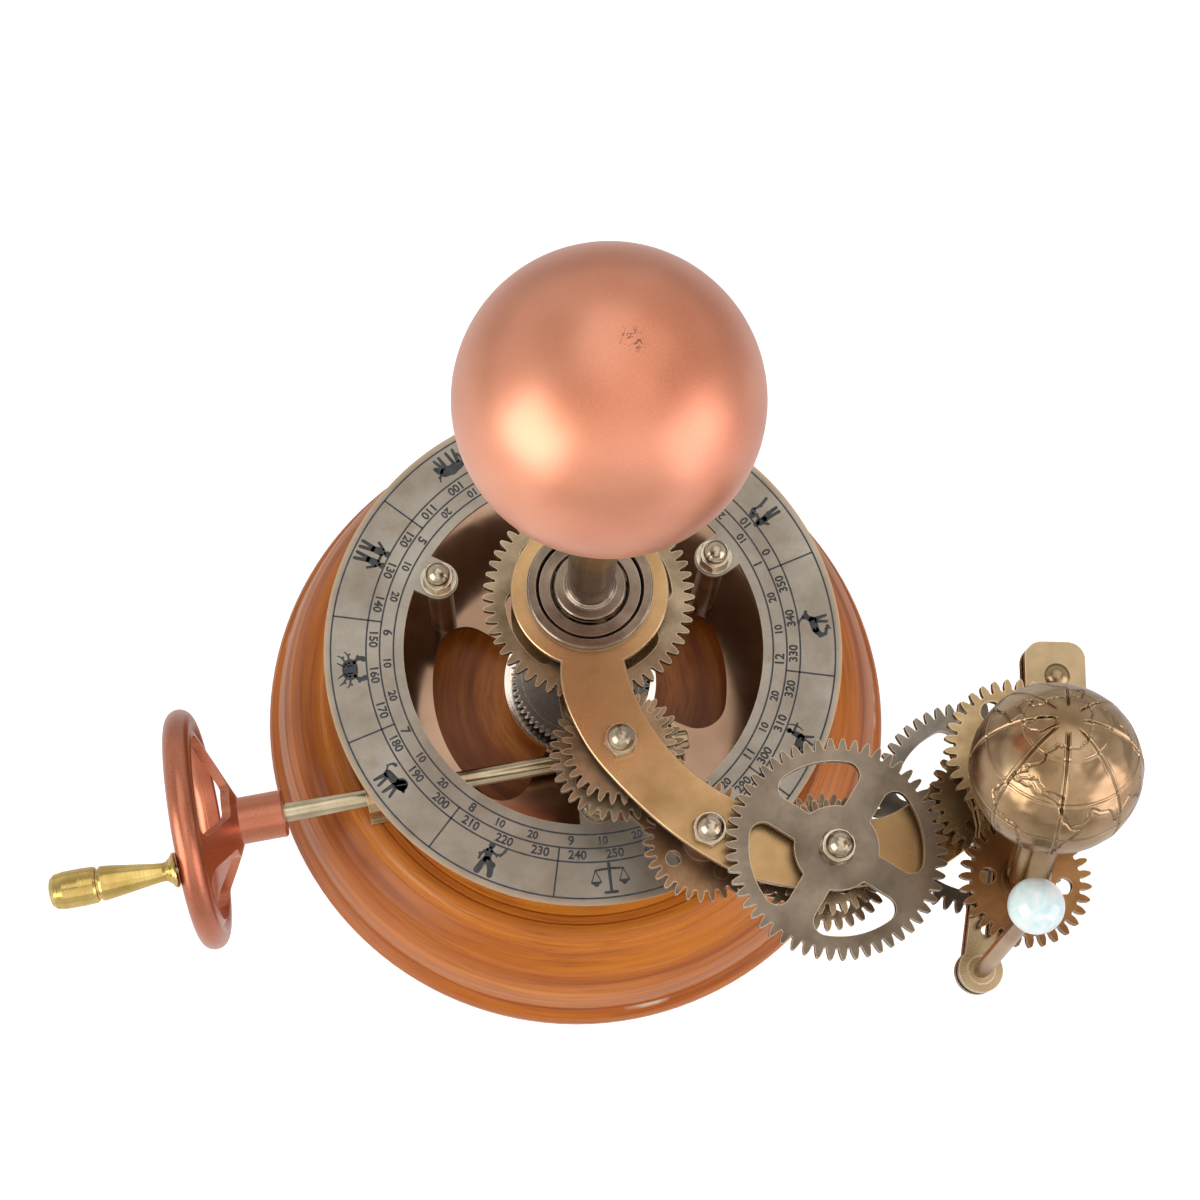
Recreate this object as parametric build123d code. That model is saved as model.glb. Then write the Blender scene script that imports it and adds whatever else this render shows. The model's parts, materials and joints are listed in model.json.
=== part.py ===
"""Hand-cranked orrery with a copper Sun, a toothed-wheel arm and a tilted Earth, millimetres.

The origin is the centre of the underside of the wooden base, Z is up and the crank shaft runs along X.
Every separate piece is written to its own file, in the place where it sits in the assembly.
"""
import math
import os

from build123d import *

os.makedirs("parts", exist_ok=True)

# fits
RUN = 0.05
GAP = 0.3
CUT = 1.0

# toothed wheels
MODULE = 1.25
PRESSURE = math.radians(20)
BACKLASH = 0.1
WHEEL_THICK = 3.0
BIG_TEETH = 54
SMALL_TEETH = 28
MID_TEETH = 34
IDLER_TEETH = 30
LEAF_TEETH = 11
LEAF_MODULE = 1.0
LEAF_THICK = 2.4

# heights above the table
DECK_TOP = 62.0
DECK_THICK = 3.0
RING_TOP = 120.0
RING_THICK = 2.0
SHAFT_Z = 75.0
PLATE_THICK = 3.0
LOW_PLATE = 163.5
HIGH_PLATE = 192.0
LEVEL_B = 172.0
LEVEL_A = 183.0
TOP_LEVEL = 200.2
CAGE_LOW = 215.5
CAGE_THICK = 2.5
CAGE_HIGH = 221.0
CAGE_WHEELS = 225.0
LEAF_LEVEL = CAGE_LOW + CAGE_THICK + GAP
SUN_Z = 369.0
RACE_LOW = 190.0
RACE_TOP = 198.0
ROD_FOOT = 30.0

# base, deck and ring
BASE_R = 124.5
DECK_R = 83.0
RING_OUT = 93.0
RING_IN = 64.6
POST_R = 4.75
POST_CIRCLE = 57.8
POST_START = 24.4
EAR_R = 7.0
STUD_R = 3.0
WASHER_R = 6.4
WASHER_THICK = 1.2
NUT_FLATS = 10.0
NUT_THICK = 4.4
DOME_R = 4.4
SHELF_TOP = 60.0
WINDOW_IN = 24.0
WINDOW_OUT = 56.5

# column, Sun and hub
ROD_R = 4.0
SLEEVE_R = 7.0
SUN_R = 39.5
SUN_SOCKET = 3.0
STEM_R = 7.6
RACE_OUT = 20.6
RACE_GROOVE = 17.0
RACE_MID = 12.2
RACE_BORE = 8.0
BALL_R = 2.6
BALL_COUNT = 11
HUB_DISC_R = 25.8
SEAT_R = 29.0
SEAT_BOSS_R = 9.5
SEAT_TOP = 65.0
SLEEVE_SPIGOT_R = 6.0

# worm drive
WORM_MODULE = 0.8
WORM_STARTS = 4
WORM_TEETH = 64
WORM_R = 5.9
WORM_LENGTH = 26.0
WORM_THICK = 6.0
SHAFT_R = 3.5
BEARING_R = 6.5
BEARING_FOOT = 2.6
SHAFT_END = 35.0
INNER_BEARING_X = 26.0
OUTER_FOOT = (7.0, 16.0)
INNER_FOOT = (12.0, 18.0)
FLANK_GAP = 0.16
WHEEL_R = WORM_MODULE * WORM_TEETH / 2
SHAFT_Y = -(WHEEL_R + WORM_R)
FOOT_EDGE_Y = -SHAFT_Y - OUTER_FOOT[1] / 2
OUTER_BEARING_X = -math.sqrt((DECK_R + GAP) ** 2 - FOOT_EDGE_Y ** 2) - OUTER_FOOT[0] / 2 - 0.4
WORM_LEAD = math.pi * WORM_MODULE * WORM_STARTS

# hand wheel and grip
RIM_X = -150.0
RIM_R = 40.0
RIM_TUBE = 4.75
HUB_R = 8.75
HUB_START = -117.5
HUB_END = -135.0
GRIP_TURN = 119.5
GRIP_LENGTH = 44.5
PIN_R = 1.5
GRIP_SEAT = 42.6

# Earth and Moon
GLOBE_R = 24.0
GLOBE_TILT = 23.5
GLOBE_TURN = 85.5
GLOBE_REACH = 59.5
ELBOW_Z = CAGE_WHEELS + 4.1
GLOBE_Z = ELBOW_Z + GLOBE_REACH * math.cos(math.radians(GLOBE_TILT))
TUBE_END = GLOBE_REACH - GLOBE_R - 0.6
MOON_Z = 280.0
TUBE_R = 6.7
AXLE_R = 3.0
LEAF_TUBE_R = 4.3
MOON_R = 7.9
MOON_ROD_R = 2.5
MOON_SOCKET = 3.0
BUSH_R = 4.2
CAGE_PIN_R = 2.5
LEAF_ARBOR_R = 2.5
POST_FOOT_R = 4.0


def polar(x, y, radius, degrees):
    """A point at a distance and heading from another point."""
    a = math.radians(degrees)
    return (x + radius * math.cos(a), y + radius * math.sin(a))


def spacing(teeth_a, teeth_b, module=MODULE):
    return module * (teeth_a + teeth_b) / 2


# wheel axes along the arm and on the carriage
TURN_1 = -89.8
TURN_2 = -56.5
TURN_3 = -20.5
TURN_4 = 7.5
TURN_5 = 56.0
TURN_6 = -100.2
AXIS_1 = polar(0, 0, spacing(BIG_TEETH, SMALL_TEETH), TURN_1)
AXIS_2 = polar(*AXIS_1, spacing(MID_TEETH, IDLER_TEETH), TURN_2)
AXIS_3 = polar(*AXIS_2, spacing(IDLER_TEETH, MID_TEETH), TURN_3)
AXIS_4 = polar(*AXIS_3, spacing(SMALL_TEETH, BIG_TEETH), TURN_4)
AXIS_5 = polar(*AXIS_4, spacing(LEAF_TEETH, LEAF_TEETH, LEAF_MODULE), TURN_5)
AXIS_6 = polar(*AXIS_5, spacing(MID_TEETH, IDLER_TEETH), TURN_6)
MOON_FOOT = (90.9, -145.3)
CAGE_PIN = (135.6, -61.4)
CAGE_END = (137.5, -50.5)
CAGE_END_TURN = 78.0
MOON_AT = (97.6, -134.6)

# shoulder bolts of the arm
BOLT_R = 4.0
BOLT_FLATS = 13.0
BOLT_HEAD = 5.0
BOLT_TOP = 202.0
THIRD_HUB_R = 6.0
THIRD_SPIGOT_R = 5.2


def rod(x, y, low, high, radius):
    """An upright cylinder between two heights."""
    return Pos(x, y, low) * Cylinder(radius, high - low, align=(Align.CENTER, Align.CENTER, Align.MIN))


def tube(x, y, low, high, outer, inner):
    """An upright tube between two heights."""
    return rod(x, y, low, high, outer) - rod(x, y, low - CUT, high + CUT, inner)


def turned(points):
    """A solid turned about Z from radius and height pairs."""
    face = make_face(Polyline(*[(r, 0, z) for r, z in points], close=True))
    return revolve(face, Axis.Z)


def slab(sketch, low, thick):
    """A flat sketch thickened upwards from a height."""
    return extrude(Pos(0, 0, low) * sketch, thick, dir=(0, 0, 1))


def one(shape):
    """The single solid of a finished piece."""
    found = shape.solids()
    if len(found) != 1:
        raise ValueError(f"expected one solid, found {len(found)}")
    return found[0]


def group(solids):
    """Identical pieces that share one file."""
    return Compound(children=list(solids))


def save(shape, name):
    export_step(shape, f"parts/{name}.step")


# toothed wheels


def involute(angle):
    return math.tan(angle) - angle


def mesh_phase(teeth_a, phase_a, heading, teeth_b):
    """The turn of wheel b, in degrees, that meshes it with wheel a along a heading."""
    place = (heading - phase_a) / (360 / teeth_a)
    return heading + 180 - (0.5 - place) * 360 / teeth_b


def toothed_face(teeth, phase, addendum=1.0, dedendum=1.9, module=MODULE):
    """The outline of a spur wheel with rounded tips and deep round roots."""
    pitch_r = module * teeth / 2
    base_r = pitch_r * math.cos(PRESSURE)
    tip_r = pitch_r + addendum * module
    root_r = pitch_r - dedendum * module
    side_r = tip_r - 0.3 * module
    half = (math.pi * module / 2 - BACKLASH) / (2 * pitch_r)

    def flank(radius):
        if radius <= base_r:
            return half + involute(PRESSURE)
        return half + involute(PRESSURE) - involute(math.acos(base_r / radius))

    start_r = root_r + 0.35 * module
    radii = [start_r + (side_r - start_r) * k / 6 for k in range(7)]
    edges = []
    step = 2 * math.pi / teeth
    turn = math.radians(phase)
    for k in range(teeth):
        mid = turn + k * step

        def at(radius, angle):
            return (radius * math.cos(mid + angle), radius * math.sin(mid + angle))

        right = [at(r, -flank(r)) for r in radii]
        left = [at(r, flank(r)) for r in reversed(radii)]
        following = (start_r * math.cos(mid + step - flank(start_r)),
                     start_r * math.sin(mid + step - flank(start_r)))
        edges.append(Spline(*right))
        edges.append(ThreePointArc(right[-1], at(tip_r, 0), left[0]))
        edges.append(Spline(*left))
        edges.append(ThreePointArc(left[-1], at(root_r, step / 2), following))
    return make_face(edges)


def round_holes(count, circle, radius, first):
    """A ring of round holes."""
    return [Pos(*polar(0, 0, circle, first + k * 360 / count)) * Circle(radius) for k in range(count)]


def spoke_windows(inner, outer, spoke, first):
    """Four windows with rounded outer corners, leaving four straight spokes."""
    area = Circle(outer) - Circle(inner)
    for k in (0, 90):
        area -= Rot(0, 0, first + k) * Rectangle(2.2 * outer, spoke)
    corners = area.vertices()
    far = [v for v in corners if math.hypot(v.X, v.Y) > (inner + outer) / 2]
    area = fillet(far, 4.2)
    near = [v for v in area.vertices() if math.hypot(v.X, v.Y) < inner + 0.4]
    return fillet(near, 0.8)


def wheel(teeth, phase, bore, holes=(), addendum=1.0, dedendum=1.9):
    """The flat sketch of a wheel, centred on the origin."""
    sketch = toothed_face(teeth, phase, addendum, dedendum) - Circle(bore)
    for hole in holes:
        sketch -= hole
    return sketch


def placed(sketch, axis, low, thick):
    return Pos(axis[0], axis[1], 0) * slab(sketch, low, thick)


PHASE_0 = 3.0
PHASE_1A = mesh_phase(BIG_TEETH, PHASE_0, TURN_1, SMALL_TEETH)
PHASE_1B = 2.0
PHASE_2 = mesh_phase(MID_TEETH, PHASE_1B, TURN_2, IDLER_TEETH)
PHASE_3B = mesh_phase(IDLER_TEETH, PHASE_2, TURN_3, MID_TEETH)
PHASE_3A = 4.0
PHASE_4 = mesh_phase(SMALL_TEETH, PHASE_3A, TURN_4, BIG_TEETH)
PHASE_TOP = 1.0
PHASE_4A = mesh_phase(BIG_TEETH, PHASE_TOP, TURN_4, SMALL_TEETH)
PHASE_LEAF = 0.0
PHASE_5L = mesh_phase(LEAF_TEETH, PHASE_LEAF, TURN_5, LEAF_TEETH)
PHASE_5 = 0.0
PHASE_6 = mesh_phase(MID_TEETH, PHASE_5, TURN_6, IDLER_TEETH)


# base, deck and ring


def wood_base():
    """Turned base with a rounded shoulder, fine grooves on top and a dished middle."""
    outline = [
        (0, 0), (121.0, 0), (BASE_R, 3.5), (BASE_R, 9.0), (123.2, 12.2), (120.6, 14.2), (119.0, 16.4),
        (119.6, 19.0), (119.2, 24.0), (117.9, 30.0), (115.7, 36.5), (112.6, 42.5), (108.6, 47.6),
        (104.2, 51.2), (100.8, 53.2), (100.2, 55.0), (99.0, 56.2), (98.4, 58.6), (96.8, 59.6),
        (95.4, SHELF_TOP), (92.6, SHELF_TOP), (92.0, 59.3), (91.4, SHELF_TOP), (89.4, SHELF_TOP),
        (88.8, 59.3), (88.2, SHELF_TOP), (DECK_R + GAP, SHELF_TOP), (DECK_R + GAP, DECK_TOP - DECK_THICK),
        (66.0, DECK_TOP - DECK_THICK), (63.5, 48.5), (60.0, 46.0), (0, 46.0),
    ]
    body = turned(outline)
    return one(body - rod(0, 0, ROD_FOOT, SHELF_TOP, ROD_R))


def deck_window(start, end):
    """A rounded opening of the deck between two headings."""
    reach = 1.6 * WINDOW_OUT
    a = polar(0, 0, reach, start)
    b = polar(0, 0, reach, end)
    c = polar(0, 0, 1.6 * reach, (start + end) / 2)
    wedge = make_face(Polyline((0, 0), a, c, b, close=True))
    area = (Circle(WINDOW_OUT) - Circle(WINDOW_IN)) & wedge
    far = [v for v in area.vertices() if math.hypot(v.X, v.Y) > (WINDOW_IN + WINDOW_OUT) / 2]
    area = fillet(far, 11.0)
    near = [v for v in area.vertices() if math.hypot(v.X, v.Y) < 1.05 * WINDOW_IN]
    return fillet(near, 4.0)


def deck_plate():
    """Polished disc with two rounded windows, pierced for the column and the posts."""
    sketch = Circle(DECK_R) - Circle(ROD_R)
    sketch -= deck_window(-33.0, 25.0)
    sketch -= deck_window(141.0, 233.0)
    body = slab(sketch, DECK_TOP - DECK_THICK, DECK_THICK)
    return one(chamfer(body.faces().sort_by(Axis.Z)[-1].outer_wire().edges(), 0.4))


def post_places():
    return [polar(0, 0, POST_CIRCLE, POST_START + 120 * k) for k in range(3)]


def ring_post(x, y):
    """One pillar with a threaded stud on top."""
    pillar = rod(x, y, DECK_TOP, RING_TOP - RING_THICK, POST_R)
    stud = rod(x, y, RING_TOP - RING_THICK, RING_TOP + WASHER_THICK + 7.5, STUD_R)
    return one(pillar + stud)


def washer(x, y, low):
    return one(tube(x, y, low, low + WASHER_THICK, WASHER_R, STUD_R))


def acorn_nut(x, y, low, turn=0.0):
    """A hexagon nut with a domed cap."""
    hexagon = RegularPolygon(NUT_FLATS / 2, 6, major_radius=False)
    body = extrude(Pos(x, y, low) * Rot(0, 0, turn) * hexagon, NUT_THICK, dir=(0, 0, 1))
    trim = Pos(x, y, low + 0.1) * Cone(7.0, 4.3, 6.2, align=(Align.CENTER, Align.CENTER, Align.MIN))
    body = body & trim
    body += rod(x, y, low + 4.0, low + 6.0, DOME_R)
    body += Pos(x, y, low + 6.0) * Sphere(DOME_R)
    body -= rod(x, y, low - CUT, low + 7.5, STUD_R)
    return one(body)


def zodiac_ring():
    """Flat dial ring with three ears inside for the posts."""
    sketch = Circle(RING_OUT) - Circle(RING_IN)
    for k in range(3):
        heading = POST_START + 120 * k
        reach = RING_IN + 3.0 - POST_CIRCLE
        middle = polar(0, 0, POST_CIRCLE + reach / 2, heading)
        sketch += Pos(*polar(0, 0, POST_CIRCLE, heading)) * Circle(EAR_R)
        sketch += Pos(*middle) * Rot(0, 0, heading) * Rectangle(reach, 2 * EAR_R)
    for x, y in post_places():
        sketch -= Pos(x, y) * Circle(STUD_R)
    return one(slab(sketch, RING_TOP - RING_THICK, RING_THICK))


# column, Sun and hub


def column_rod():
    return one(rod(0, 0, ROD_FOOT, SUN_Z - 12.0, ROD_R))


def wheel_seat():
    """Flanged seat on the deck with a thin raised rim."""
    rim = SEAT_R - 1.4
    points = [(ROD_R, DECK_TOP), (SEAT_R, DECK_TOP), (SEAT_R, SEAT_TOP + 0.4), (rim, SEAT_TOP + 0.4),
              (rim, DECK_TOP + 1.6), (SEAT_BOSS_R, DECK_TOP + 1.6), (SEAT_BOSS_R, SEAT_TOP),
              (ROD_R, SEAT_TOP)]
    return one(turned(points))


def drive_sleeve():
    """Tube that carries the worm wheel below and the arm above."""
    bore = ROD_R + RUN
    foot = SEAT_TOP + 0.1
    wheel_low = SHAFT_Z - WORM_THICK / 2
    plate_top = LOW_PLATE + PLATE_THICK
    points = [(bore, foot), (SEAT_BOSS_R, foot), (SEAT_BOSS_R, wheel_low), (SLEEVE_R, wheel_low),
              (SLEEVE_R, LOW_PLATE), (SLEEVE_SPIGOT_R, LOW_PLATE), (SLEEVE_SPIGOT_R, plate_top),
              (bore, plate_top)]
    return one(turned(points))


def sun_wheel():
    """Fixed wheel on the column, with a tall hub that spaces it between the arm plates."""
    windows = spoke_windows(13.4, 27.6, 8.5, -26.5)
    body = slab(wheel(BIG_TEETH, PHASE_0, ROD_R, [windows]), LEVEL_A, WHEEL_THICK)
    body += tube(0, 0, LOW_PLATE + PLATE_THICK + GAP, RACE_LOW, 9.0, ROD_R)
    return one(body)


def hub_inner_race():
    outer = RACE_MID - GAP
    points = [(RACE_BORE, RACE_LOW), (outer, RACE_LOW), (outer, RACE_TOP - 0.4), (outer - 0.3, RACE_TOP),
              (RACE_BORE, RACE_TOP)]
    return one(turned(points))


def hub_outer_race():
    inner = RACE_GROOVE + GAP
    edge = RACE_TOP + 0.2
    points = [(inner, RACE_LOW), (RACE_OUT, RACE_LOW), (RACE_OUT, edge), (RACE_OUT - 0.4, edge + 0.4),
              (inner + 0.4, edge + 0.4), (inner, edge)]
    return one(turned(points))


def hub_balls():
    """Balls of the hub bearing, a little clear of the inner race."""
    circle = RACE_GROOVE + GAP - BALL_R
    level = RACE_LOW + 3.2
    places = [polar(0, 0, circle, 360 * k / BALL_COUNT) for k in range(BALL_COUNT)]
    return group(Pos(x, y, level) * Sphere(BALL_R) for x, y in places)


def hub_shield():
    inner = RACE_MID + GAP
    outer = RACE_GROOVE + GAP
    low = RACE_TOP - 1.8
    top = RACE_TOP - 0.1
    points = [(inner, low), (outer, low), (outer, low + 0.7), (outer - 0.8, top),
              (inner + 0.5, top), (inner, top - 0.4)]
    return one(turned(points))


def sun_stem():
    """Spigot, flange and tube that stand on the inner race and carry the Sun."""
    flange = 11.6
    collar = STEM_R + 1.0
    flange_top = RACE_TOP + 2.8
    end = SUN_Z - SUN_R + SUN_SOCKET
    points = [(ROD_R, RACE_LOW), (RACE_BORE, RACE_LOW), (RACE_BORE, RACE_TOP), (flange - 0.3, RACE_TOP),
              (flange, RACE_TOP + 0.3), (flange, flange_top - 0.4), (flange - 0.4, flange_top),
              (collar, flange_top), (collar, flange_top + 1.4), (STEM_R, flange_top + 2.0),
              (STEM_R, end), (ROD_R, end)]
    return one(turned(points))


def sun_ball():
    ball = Pos(0, 0, SUN_Z) * Sphere(SUN_R)
    low = SUN_Z - SUN_R
    ball -= rod(0, 0, low - CUT, low + SUN_SOCKET, STEM_R)
    ball -= rod(0, 0, low - CUT, SUN_Z - 12.0, ROD_R)
    return one(ball)


# worm drive


def helical_wheel_face():
    """Fine teeth of the worm wheel at its lower face."""
    tip = WHEEL_R + WORM_MODULE
    root = WHEEL_R - 1.25 * WORM_MODULE
    pitch = 2 * math.pi / WORM_TEETH
    half = (math.pi * WORM_MODULE / 2 - FLANK_GAP) / (2 * WHEEL_R)
    slope = math.tan(PRESSURE) / WHEEL_R
    twist = WORM_THICK * WORM_LEAD / (2 * math.pi * WORM_R) / WHEEL_R
    start = math.radians(-90) - twist / 2
    points = []
    for k in range(WORM_TEETH):
        mid = start + k * pitch
        for radius, side in ((root, -1), (tip, -1), (tip, 1), (root, 1)):
            angle = mid + side * (half - slope * (radius - WHEEL_R))
            points.append((radius * math.cos(angle), radius * math.sin(angle)))
    return make_face(Polyline(*points, close=True)), math.degrees(twist)


def worm_wheel():
    """Steel wheel with fine slanted teeth, dished on both faces."""
    face, twist = helical_wheel_face()
    low = SHAFT_Z - WORM_THICK / 2
    high = SHAFT_Z + WORM_THICK / 2
    base = Pos(0, 0, low) * face
    dish = WHEEL_R - 3.2
    boss = SLEEVE_R + 4.0
    body = Solid.extrude_linear_with_rotation(base.face(), (0, 0, low), (0, 0, WORM_THICK), twist)
    body -= tube(0, 0, high - 1.4, high + CUT, dish, boss)
    body -= tube(0, 0, low - CUT, low + 1.2, dish, boss + 1.0)
    body += tube(0, 0, high - 1.4, high + 5.0, boss, SLEEVE_R)
    body -= rod(0, 0, low - CUT, high + 6, SLEEVE_R)
    return one(body)


def worm():
    """Four-start thread on the shaft, with plain ends."""
    tip = WORM_R + WORM_MODULE
    root = WORM_R - 1.25 * WORM_MODULE
    starts = 2 * math.pi / WORM_STARTS
    points = []
    first = math.radians(45) - (WORM_LENGTH / 2) / WORM_LEAD * 2 * math.pi
    for k in range(WORM_STARTS):
        mid = first + k * starts
        for radius, side in ((root, -1), (WORM_R, -1), (tip, -1), (tip, 1), (WORM_R, 1), (root, 1)):
            width = math.pi * WORM_MODULE / 2 - FLANK_GAP - 2 * (radius - WORM_R) * math.tan(PRESSURE)
            angle = mid + side * width / 2 / WORM_LEAD * 2 * math.pi
            points.append((radius * math.cos(angle), radius * math.sin(angle)))
    face = make_face(Polyline(*points, close=True))
    twist = WORM_LENGTH / WORM_LEAD * 360
    body = Solid.extrude_linear_with_rotation(face.face(), (0, 0, 0), (0, 0, WORM_LENGTH), twist)
    body += rod(0, 0, -3.0, 0, root)
    body += rod(0, 0, WORM_LENGTH, WORM_LENGTH + 3.0, root)
    body -= rod(0, 0, -4.0, WORM_LENGTH + 4.0, SHAFT_R)
    # local Z becomes world X, local X becomes world Y and local Y becomes world Z
    frame = Plane(origin=(-WORM_LENGTH / 2, SHAFT_Y, SHAFT_Z), x_dir=(0, 1, 0), z_dir=(1, 0, 0))
    return one(frame.location * body)


def along_x(points, x, y, z, direction=1):
    """A solid turned about a line along X, from radius and distance pairs."""
    body = turned(points)
    frame = Plane(origin=(x, y, z), x_dir=(0, 1, 0), z_dir=(direction, 0, 0))
    return frame.location * body


def drive_shaft():
    start = HUB_END + 1.0
    length = SHAFT_END - start
    points = [(0, 0), (SHAFT_R - 0.3, 0), (SHAFT_R, 0.3), (SHAFT_R, length - 0.5), (SHAFT_R - 0.5, length),
              (0, length)]
    return one(along_x(points, start, SHAFT_Y, SHAFT_Z))


def shaft_bearing(x, low, width, foot_size):
    """Upright bearing block with a round top and a foot."""
    upright = (Align.CENTER, Align.CENTER, Align.MIN)
    foot = Pos(x, SHAFT_Y, low) * Box(*foot_size, BEARING_FOOT, align=upright)
    wall = Pos(x, SHAFT_Y, low) * Box(width, 2 * BEARING_R, SHAFT_Z - low, align=upright)
    cap = Pos(x, SHAFT_Y, SHAFT_Z) * Rot(0, 90, 0) * Cylinder(BEARING_R, width)
    bore = Pos(x, SHAFT_Y, SHAFT_Z) * Rot(0, 90, 0) * Cylinder(SHAFT_R + RUN, width + CUT)
    return one(foot + wall + cap - bore)


def hand_wheel():
    """Dished wheel: round rim, coned web with three windows, long hub."""
    crosswise = Plane(origin=(RIM_X, SHAFT_Y, SHAFT_Z), x_dir=(0, 1, 0), z_dir=(1, 0, 0))
    rim = crosswise.location * Torus(RIM_R, RIM_TUBE)
    length = HUB_START - HUB_END
    depth = HUB_START - RIM_X
    edge = RIM_R - 1.5
    hub = along_x([(SHAFT_R, 0), (HUB_R - 0.6, 0), (HUB_R, 0.6), (HUB_R, length), (HUB_R - 1.5, length + 2.5),
                   (SHAFT_R, length + 2.5)], HUB_START, SHAFT_Y, SHAFT_Z, -1)
    web = along_x([(HUB_R - 2, length - 1.0), (HUB_R, length - 1.0), (edge, depth - 2.8), (edge, depth + 1.6),
                   (HUB_R + 1, length + 2.6), (HUB_R - 2, length + 2.0)], HUB_START, SHAFT_Y, SHAFT_Z, -1)
    openings = Circle(RIM_R - 5.5) - Circle(13.0)
    for k in range(3):
        openings -= Rot(0, 0, GRIP_TURN + 120 * k) * Pos(RIM_R / 2, 0) * Rectangle(RIM_R, 12.5)
    openings = fillet(openings.vertices(), 4.6)
    cutter = Pos(-10, 0, 0) * (crosswise.location * extrude(openings, 45, dir=(0, 0, 1)))
    y, z = grip_place()
    pin_hole = Pos(RIM_X, y, z) * Rot(0, 90, 0) * Cylinder(PIN_R, 4 * RIM_TUBE)
    return one(rim + (web - cutter) + hub - pin_hole)


def grip_place():
    gx, gy = polar(0, 0, RIM_R, GRIP_TURN)
    return SHAFT_Y + gx, SHAFT_Z + gy


def crank_grip():
    """Turned handle that spins on its pin."""
    y, z = grip_place()
    bore = PIN_R + RUN
    head = 2.7
    flange = [(bore, 0), (5.9, 0), (6.3, 0.5), (6.1, 1.3), (4.6, 2.4), (3.5, 3.8), (3.3, 5.0)]
    shank = [(3.6, 8.0), (4.5, 14.0), (5.4, 20.0), (6.1, 25.0), (6.2, 26.2), (5.9, 26.9), (5.3, 27.2),
             (5.3, 27.8)]
    knob = [(6.1, 28.1), (6.5, 28.9), (6.7, 34.0), (6.6, 39.5), (6.1, GRIP_SEAT), (4.9, 44.0),
            (3.6, GRIP_LENGTH)]
    socket = [(head, GRIP_LENGTH), (head, GRIP_SEAT), (bore, GRIP_SEAT)]
    outline = flange + shank + knob + socket
    return one(along_x(outline, RIM_X - RIM_TUBE - 0.25, y, z, -1))


def grip_pin():
    y, z = grip_place()
    start = 2 * RIM_TUBE
    seat = GRIP_SEAT + 0.1
    outline = [(0, -start), (PIN_R, -start), (PIN_R, seat), (2.5, seat), (2.5, seat + 1.2), (0, seat + 1.2)]
    return one(along_x(outline, RIM_X - RIM_TUBE - 0.25, y, z, -1))


# arm


def arm_outline(left, right, tip):
    """A curved strap between two edges with a round far end."""
    edge_a = Spline(*left)
    edge_b = Spline(*right)
    end = ThreePointArc(left[-1], tip, right[-1])
    close = Line(right[0], left[0])
    return make_face([edge_a, end, edge_b, close])


LEFT_EDGE = [(-12.6, -19.0), (-14.6, -26.0), (-14.8, -34.0), (-13.2, -42.4), (-9.9, -52.3), (-3.6, -63.8),
             (4.9, -76.1), (18.1, -91.0), (32.0, -101.6), (46.9, -107.8), (60.0, -110.4), (72.1, -111.2),
             (84.0, -110.8), (94.5, -108.8), (103.6, -104.4)]
RIGHT_EDGE = [(6.6, -19.0), (6.6, -27.0), (7.2, -34.0), (8.6, -41.1), (12.9, -52.6), (20.2, -64.5),
              (33.0, -76.9), (47.0, -85.6), (60.0, -90.0), (72.6, -91.0), (86.0, -88.4), (96.0, -83.0),
              (103.5, -79.4)]


def arm_upper_plate():
    """Curved strap from the hub bearing to the carriage, with holes for the bolts."""
    tip = polar(*AXIS_4, 14.0, TURN_4)
    sketch = arm_outline(LEFT_EDGE, RIGHT_EDGE, tip) + Circle(HUB_DISC_R)
    sketch -= Circle(RACE_OUT)
    holes = ((AXIS_1, STUD_R), (AXIS_2, STUD_R), (AXIS_3, THIRD_HUB_R + RUN), (AXIS_4, STUD_R + RUN))
    for axis, radius in holes:
        sketch -= Pos(*axis) * Circle(radius)
    body = slab(sketch, HIGH_PLATE, PLATE_THICK)
    return one(chamfer(body.faces().sort_by(Axis.Z)[-1].outer_wire().edges(), 0.3))


def arm_lower_plate():
    """Shorter strap below, which ends under the third bolt and sits on the sleeve."""
    tip = polar(*AXIS_3, 11.5, TURN_3 + 12)
    left = LEFT_EDGE[:11] + [(64.0, -109.6)]
    right = RIGHT_EDGE[:9] + [(64.0, -90.0)]
    sketch = arm_outline(left, right, tip) + Circle(HUB_DISC_R)
    sketch -= Circle(SLEEVE_SPIGOT_R)
    for axis in (AXIS_1, AXIS_2, AXIS_3):
        sketch -= Pos(*axis) * Circle(BOLT_R)
    return one(slab(sketch, LOW_PLATE, PLATE_THICK))


def arm_bolt(axis, shoulder, top):
    """Hexagon-headed shoulder bolt from below the lower plate."""
    hexagon = RegularPolygon(BOLT_FLATS / 2, 6, major_radius=False)
    head = extrude(Pos(*axis, LOW_PLATE - BOLT_HEAD) * hexagon, BOLT_HEAD, dir=(0, 0, 1))
    return one(head + rod(*axis, LOW_PLATE, shoulder, BOLT_R) + rod(*axis, shoulder, top, STUD_R))


def axis_wheel(teeth, phase, axis, level, bore, hub, low, high, holes=()):
    """A wheel with a plain hub."""
    body = placed(wheel(teeth, phase, bore, holes), axis, level, WHEEL_THICK)
    body += tube(*axis, low, high, hub, bore)
    return one(body)


HUB_LOW = LOW_PLATE + PLATE_THICK + GAP
HUB_HIGH = HIGH_PLATE - GAP
BOLT_BORE = BOLT_R + RUN


def first_wheel():
    holes = round_holes(4, 14.2, 3.0, -150.0)
    return axis_wheel(MID_TEETH, PHASE_1B, AXIS_1, LEVEL_B, BOLT_BORE, 7.0, HUB_LOW, LEVEL_A, holes)


def first_pinion():
    return axis_wheel(SMALL_TEETH, PHASE_1A, AXIS_1, LEVEL_A, BOLT_BORE, 7.0, LEVEL_A, HUB_HIGH)


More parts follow.
